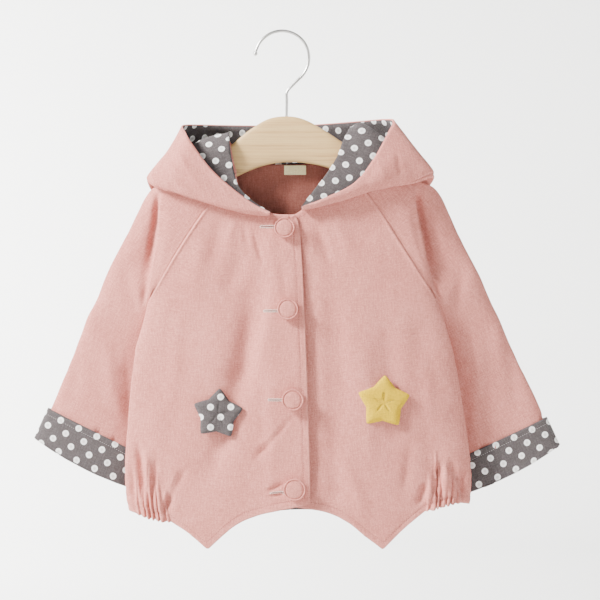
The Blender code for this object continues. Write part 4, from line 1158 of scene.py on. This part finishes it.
def makeButton(index, spec):
    r = spec.diameter / 2
    mesh = lathed([(share * r, height) for share, height in button["profile"]], button["steps"])
    layer = mesh.loops.layers.uv.new("cloth")
    for face in mesh.faces:
        for loop in face.loops:
            co = loop.vert.co
            spread = math.hypot(co.x, co.y)
            reach = 1.0 + max(6.0 - co.z, 0.0) / max(spread, 1.0) * 0.9
            loop[layer].uv = (co.x * reach + 40.0 * index, co.y * reach)
    for vert in mesh.verts:
        around = math.atan2(vert.co.y, vert.co.x)
        spread = math.hypot(vert.co.x, vert.co.y) / r
        tuckIn = 0.16 * math.sin(14.0 * around + index) * ease(spread, 0.86, 1.0)
        vert.co.x *= 1.0 + 0.008 * tuckIn
        vert.co.y *= 1.0 + 0.008 * tuckIn
        vert.co.z += 0.5 * tuckIn * (1.0 if vert.co.z > 2.0 else 0.0)
        vert.co.z += 0.16 * noise.noise(Vector((vert.co.x / 5.0, vert.co.y / 5.0, index * 3.0)))
    slope = (lapY(spec.x, spec.z + 8) - lapY(spec.x, spec.z - 8)) / 16
    seat = lapY(spec.x, spec.z) - button["seat"]
    turn = Matrix.Rotation(math.pi / 2 - math.atan(slope), 4, "X")
    place = Matrix.Translation(Vector((spec.x, seat, spec.z)) * mm)
    bmesh.ops.transform(mesh, matrix=place @ turn @ Matrix.Scale(mm, 4), verts=mesh.verts)
    name = f"button{index}"
    item = addPiece(name, meshFrom(name, mesh), pinkCloth, "shell_cloth", f"button_{index}")
    smooth = item.modifiers.new("smooth", "SUBSURF")
    smooth.levels = smooth.render_levels = 1


def makeButtonhole(index, spec):
    # two rows of bars beside the slit, and a closing bar at its far end
    left = spec.x - button["hole"] + 1.0
    chance = random.Random(index)
    loose = 0.75 if index == 1 else 0.25     # the top one is sewn untidily
    bars = []
    for step in range(34):
        x = left + step * 0.62
        for side in (-1.0, 1.0):
            lean, reach = chance.uniform(-loose, loose), chance.uniform(1.1, 1.5 + loose)
            y = lapY(x, spec.hole) - 0.5
            bars.append([Vector((x, y, spec.hole + side * 0.55)),
                         Vector((x + lean, y, spec.hole + side * reach))])
    for step in range(5):
        x = left - 0.7 + step * 0.28
        bars.append([Vector((x, lapY(x, spec.hole) - 0.6, spec.hole - 1.8)),
                     Vector((x, lapY(x, spec.hole) - 0.6, spec.hole + 1.8))])
    # the slit is a row of very dark stitches: painted shade where the cut opens
    line = [Vector((left + s, lapY(left + s, spec.hole) - 0.5, spec.hole)) for s in range(15)]
    layStitches(f"slit{index}", "frontRight", [line], slitShade, "shell_cloth", pitch=1.5, length=2.4,
                thick=0.42, proud=0.3, facing=(0, -1, 0))
    layStitches(f"buttonhole{index}", "frontRight", bars, paleThread, "shell_cloth",
                pitch=6.0, length=1.5, thick=0.26, proud=0.2, facing=(0, -1, 0))


for index, spec in enumerate(buttons, 1):
    makeButton(index, spec)
    makeButtonhole(index, spec)
print("buttons covered")

Star = namedtuple("Star", "x z tip turn seat")
star = {"valley": 0.66, "puff": 4.2, "around": 160, "rings": 30, "stitched": (2.4, 11.5),
        "grey": Star(-69.2, -415.3, 28.8, -5.0, 1.2), "yellow": Star(110.0, -402.5, 30.4, -3.0, 0.3)}


fifth = 2.0 * math.pi / 5.0


def offTip(angle, turn):
    # the angle from the nearest of the star's points
    return (angle - math.radians(90.0 + turn) + fifth / 2) % fifth - fifth / 2


def starReach(angle, turn):
    off = offTip(angle, turn)
    share = abs(off) / (fifth / 2)
    inner = star["valley"]
    straight = inner * math.sin(fifth / 2) / (
        math.sin(abs(off)) * (1.0 - inner * math.cos(fifth / 2))
        + math.cos(abs(off)) * inner * math.sin(fifth / 2))
    blunt = 0.965 - 0.1 * share
    # the two meet in a soft corner
    mean = (straight + blunt) / 2
    return mean - math.sqrt(((straight - blunt) / 2) ** 2 + 0.0009) + 0.012 * (1.0 - share)


def makeStar(name, spec, surface, material, slotName, nodeName):
    mesh = bmesh.new()
    bmesh.ops.create_uvsphere(mesh, u_segments=star["around"], v_segments=star["rings"], radius=1.0)
    layer = mesh.loops.layers.uv.new("cloth")
    flat = {}
    for vert in mesh.verts:
        around = math.atan2(vert.co.y, vert.co.x)
        spread = min(math.hypot(vert.co.x, vert.co.y), 1.0)
        # the outline is kept to the edge, and the face is flat inside it
        level = spread ** 0.72
        reach = spec.tip * starReach(around, spec.turn) * level
        x, z = spec.x + reach * math.cos(around), spec.z + reach * math.sin(around)
        base = surface(x, z) - 0.6 - spec.seat
        front = vert.co.z >= 0.0
        rise = star["puff"] * (1.0 - level ** 5) ** 0.5 if front else 0.0
        edge = 1.0 + 0.6 * vert.co.z if not front else 1.0
        wrinkle = noise.noise(Vector((x / 7.0, spec.tip, z / 7.0))) * 0.5 if front else 0.0
        # stitches from the middle to the points draw the padding in
        off = offTip(around, spec.turn)
        pull = math.exp(-((reach * math.sin(abs(off)) / 1.3) ** 2)) * ease(12.5 - reach, 0.0, 3.0)
        if not front or abs(off) > 0.7:
            pull = 0.0
        flat[vert] = (x - spec.x + 7.7, z - spec.z + 3.0)
        vert.co = Vector((x, base - edge - rise - wrinkle * (1.0 - level ** 4) + pull, z))
    for face in mesh.faces:
        for loop in face.loops:
            loop[layer].uv = flat[loop.vert]
    bmesh.ops.recalc_face_normals(mesh, faces=mesh.faces)
    bmesh.ops.scale(mesh, vec=(mm, mm, mm), verts=mesh.verts)
    surfaces[name] = BVHTree.FromBMesh(mesh)
    item = addPiece(name, meshFrom(name, mesh), material, slotName, nodeName)


for name, spec, surface, material, slotName, nodeName in (
    ("starGrey", star["grey"], lapY, greyDots, "dotted_cloth", "star_grey"),
    ("starYellow", star["yellow"], frontY, yellowCloth, "yellow_cloth", "star_yellow"),
):
    makeStar(name, spec, surface, material, slotName, nodeName)
    rays = []
    for k in range(5):
        angle = math.radians(90.0 + spec.turn + 72.0 * k)
        ray = [Vector((spec.x + d * math.cos(angle), 0.0, spec.z + d * math.sin(angle)))
               for d in star["stitched"]]
        for p in ray:
            p.y = surface(p.x, p.z) - 7.0
        rays.append(ray)
    layStitches("ray" + name[4:], name, rays, darkThread, slotName, pitch=2.3, length=1.9, thick=0.26,
                proud=0.05, facing=(0, -1, 0))
print("stars padded")

wood = {"around": 28, "along": 150}
Arm = namedtuple("Arm", "x top bottom half")
arms = (
    Arm(-129.0, -174.0, -180.0, 2.0), Arm(-126.0, -168.5, -184.0, 4.0), Arm(-112.0, -158.8, -180.5, 5.0),
    Arm(-84.0, -141.0, -170.5, 5.6), Arm(-56.0, -123.2, -160.5, 6.0), Arm(-36.0, -107.0, -151.5, 6.0),
    Arm(-15.5, -94.8, -144.5, 6.0), Arm(4.9, -91.6, -141.7, 6.0), Arm(24.0, -95.0, -142.6, 6.0),
    Arm(45.0, -106.2, -146.6, 6.0), Arm(67.6, -121.0, -155.0, 6.0), Arm(94.0, -137.5, -165.0, 5.6),
    Arm(122.0, -153.6, -175.0, 5.0), Arm(136.0, -163.0, -178.5, 4.0), Arm(139.0, -168.0, -174.5, 2.0),
)


def beechMaterial():
    material, shader = newMaterial("beech")
    place = makeNode(material, "TexCoord").outputs["Object"]
    long = streaks(material, place, (7.0, 220.0, 760.0), 4.0)
    fine = streaks(material, place, (60.0, 1200.0, 2600.0), 3.0)
    broad = streaks(material, place, (5.0, 60.0, 150.0), 2.0)
    tone = weighted(material, (long, 0.5), (fine, 0.25), (broad, 0.25))
    colour = shades(material, tone, (0.36, (0.30, 0.175, 0.070, 1.0)), (0.46, (0.48, 0.30, 0.125, 1.0)),
                    (0.6, (0.56, 0.38, 0.170, 1.0)))
    bump = makeNode(material, "Bump", {"Height": tone, "Distance": 0.25 * mm, "Strength": 0.5}).outputs[0]
    feed(material, shader, {
        "Base Color": colour, "Normal": bump, "Roughness": 0.5, "Specular IOR Level": 0.4})
    return material


def steelMaterial():
    material, shader = newMaterial("hookSteel")
    place = makeNode(material, "TexCoord").outputs["Object"]
    scuffs = makeNode(material, "TexNoise", {"Vector": place, "Scale": 240.0, "Detail": 4.0}).outputs[0]
    rough = makeNode(material, "MapRange", {"Value": scuffs, "To Min": 0.2, "To Max": 0.42}).outputs[0]
    tint = blend(material, scuffs, (0.40, 0.39, 0.38, 1.0), (0.62, 0.61, 0.60, 1.0))
    feed(material, shader, {"Base Color": tint, "Roughness": rough, "Metallic": 1.0})
    return material


def makeWood():
    mesh = bmesh.new()
    bmesh.ops.create_cone(mesh, cap_ends=True, segments=wood["around"], radius1=1.0, radius2=1.0, depth=1.0)
    upright = [e for e in mesh.edges if abs(e.verts[0].co.z - e.verts[1].co.z) > 0.5]
    bmesh.ops.subdivide_edges(mesh, edges=upright, cuts=wood["along"] - 1)
    for vert in mesh.verts:
        x, top, bottom, half = along(arms, clamp(vert.co.z + 0.5))
        angle = math.atan2(vert.co.y, vert.co.x)
        up = math.copysign(abs(math.sin(angle)) ** 0.62, math.sin(angle))
        side = math.copysign(abs(math.cos(angle)) ** 0.42, math.cos(angle))
        vert.co = Vector((x, half * side, (top + bottom) / 2 + (top - bottom) / 2 * up)) * mm
    addPiece("hangerWood", meshFrom("hangerWood", mesh), beechMaterial(), "beech", "hanger_wood")


makeWood()
hook = {"wire": 1.6, "radius": 29.4, "start": 171.0, "end": -43.0, "bend": (5.2, -66.0), "foot": -91.2,
        "ball": 2.35}


def hookLine():
    centre = Vector((0.0, hook["wire"] - hook["radius"]))
    points = []
    for step in range(49):
        angle = math.radians(mix(hook["start"], hook["end"], step / 48))
        points.append(centre + hook["radius"] * Vector((math.cos(angle), math.sin(angle))))
    bend = Vector(hook["bend"])
    tail = [points[-1], bend + Vector((4.0, 6.0)), bend, Vector((bend.x, -74.0)),
            Vector((body["centre"], hook["foot"] - 2.0))]
    points += [along(tail, step / 24) for step in range(1, 25)]
    return [Vector((p.x, 0.0, p.y)) * mm for p in points]


wire = hookLine()
steel = steelMaterial()
tube("hangerHook", wire, hook["wire"] * mm, steel, "hook_steel", sides=16, nodes=("hanger_hook",))
ball = bmesh.new()
bmesh.ops.create_uvsphere(ball, u_segments=20, v_segments=12, radius=hook["ball"] * mm,
                          matrix=Matrix.Translation(wire[0]))
addPiece("hookTip", meshFrom("hookTip", ball), steel, "hook_steel")
print("hanger made")

# the cut of each piece of cloth: width, length, both in metres, and flat area in square metres
Cut = namedtuple("Cut", "width length area held on")


stage = {"level": -0.95, "flat": 3.3, "rise": 0.55}    # metres, and how steeply its rim climbs


def makeStage():
    # pale floor that sweeps up far away on every side
    material, shader = newMaterial("paleStage")
    feed(material, shader, {"Base Color": (0.80, 0.80, 0.785, 1.0), "Roughness": 0.9})
    rim = [0.0, 1.2, 2.4] + [stage["flat"] + 0.1 * step for step in range(28)]
    mesh = lathed([(r, stage["level"] + stage["rise"] * max(r - stage["flat"], 0.0) ** 2.0) for r in rim], 64)
    if sum(face.normal.z for face in mesh.faces) < 0.0:
        bmesh.ops.reverse_faces(mesh, faces=mesh.faces)
    data = meshFrom("floor", mesh)
    data.materials.append(material)
    data.shade_smooth()
    item = bpy.data.objects.new("floor", data)
    bpy.context.scene.collection.objects.link(item)


def addLight(name, place, aim, size, power, colour):
    lamp = bpy.data.lights.new(name, "AREA")
    lamp.shape, lamp.size, lamp.energy, lamp.color = "SQUARE", size, power, colour
    item = bpy.data.objects.new(name, lamp)
    item.location = place
    item.rotation_euler = (Vector(aim) - Vector(place)).to_track_quat("-Z", "Y").to_euler()
    bpy.context.scene.collection.objects.link(item)


makeStage()
studio = {"key": 600.0, "fill": 24.0, "back": 40.0, "wall": 800.0, "sky": 0.16}
jacket = (0.02, 0.0, -0.3)      # where the lamps look
addLight("key", (-2.6, -1.1, 1.7), jacket, 0.8, studio["key"], (1.0, 0.985, 0.965))
addLight("fill", (2.7, -0.7, 0.4), jacket, 1.4, studio["fill"], (0.98, 0.985, 1.0))
addLight("rear", (0.5, 2.4, 1.7), jacket, 1.8, studio["back"], (1.0, 1.0, 1.0))
addLight("wallWash", (-2.6, 2.2, 1.3), (-0.8, 4.4, 0.5), 1.4, studio["wall"], (1.0, 1.0, 1.0))

world = bpy.data.worlds.new("paleRoom")
bpy.context.scene.world = world
world.use_nodes = True
feed(world, world.node_tree.nodes["Background"], {"Color": (0.97, 0.98, 1.0, 1.0), "Strength": studio["sky"]})

view = {"at": (0.0196, -2.2, -0.292), "aim": (0.0196, 0.0, -0.292), "lens": 121.0}
lens = bpy.data.cameras.new("view")
lens.lens, lens.sensor_width = view["lens"], 36.0
lens.clip_end = 50.0
camera = bpy.data.objects.new("view", lens)
camera.location = view["at"]
camera.rotation_euler = (Vector(view["aim"]) - Vector(view["at"])).to_track_quat("-Z", "Y").to_euler()
bpy.context.scene.collection.objects.link(camera)
bpy.context.scene.camera = camera
print("stage, lights and camera set")

bpy.context.view_layer.update()
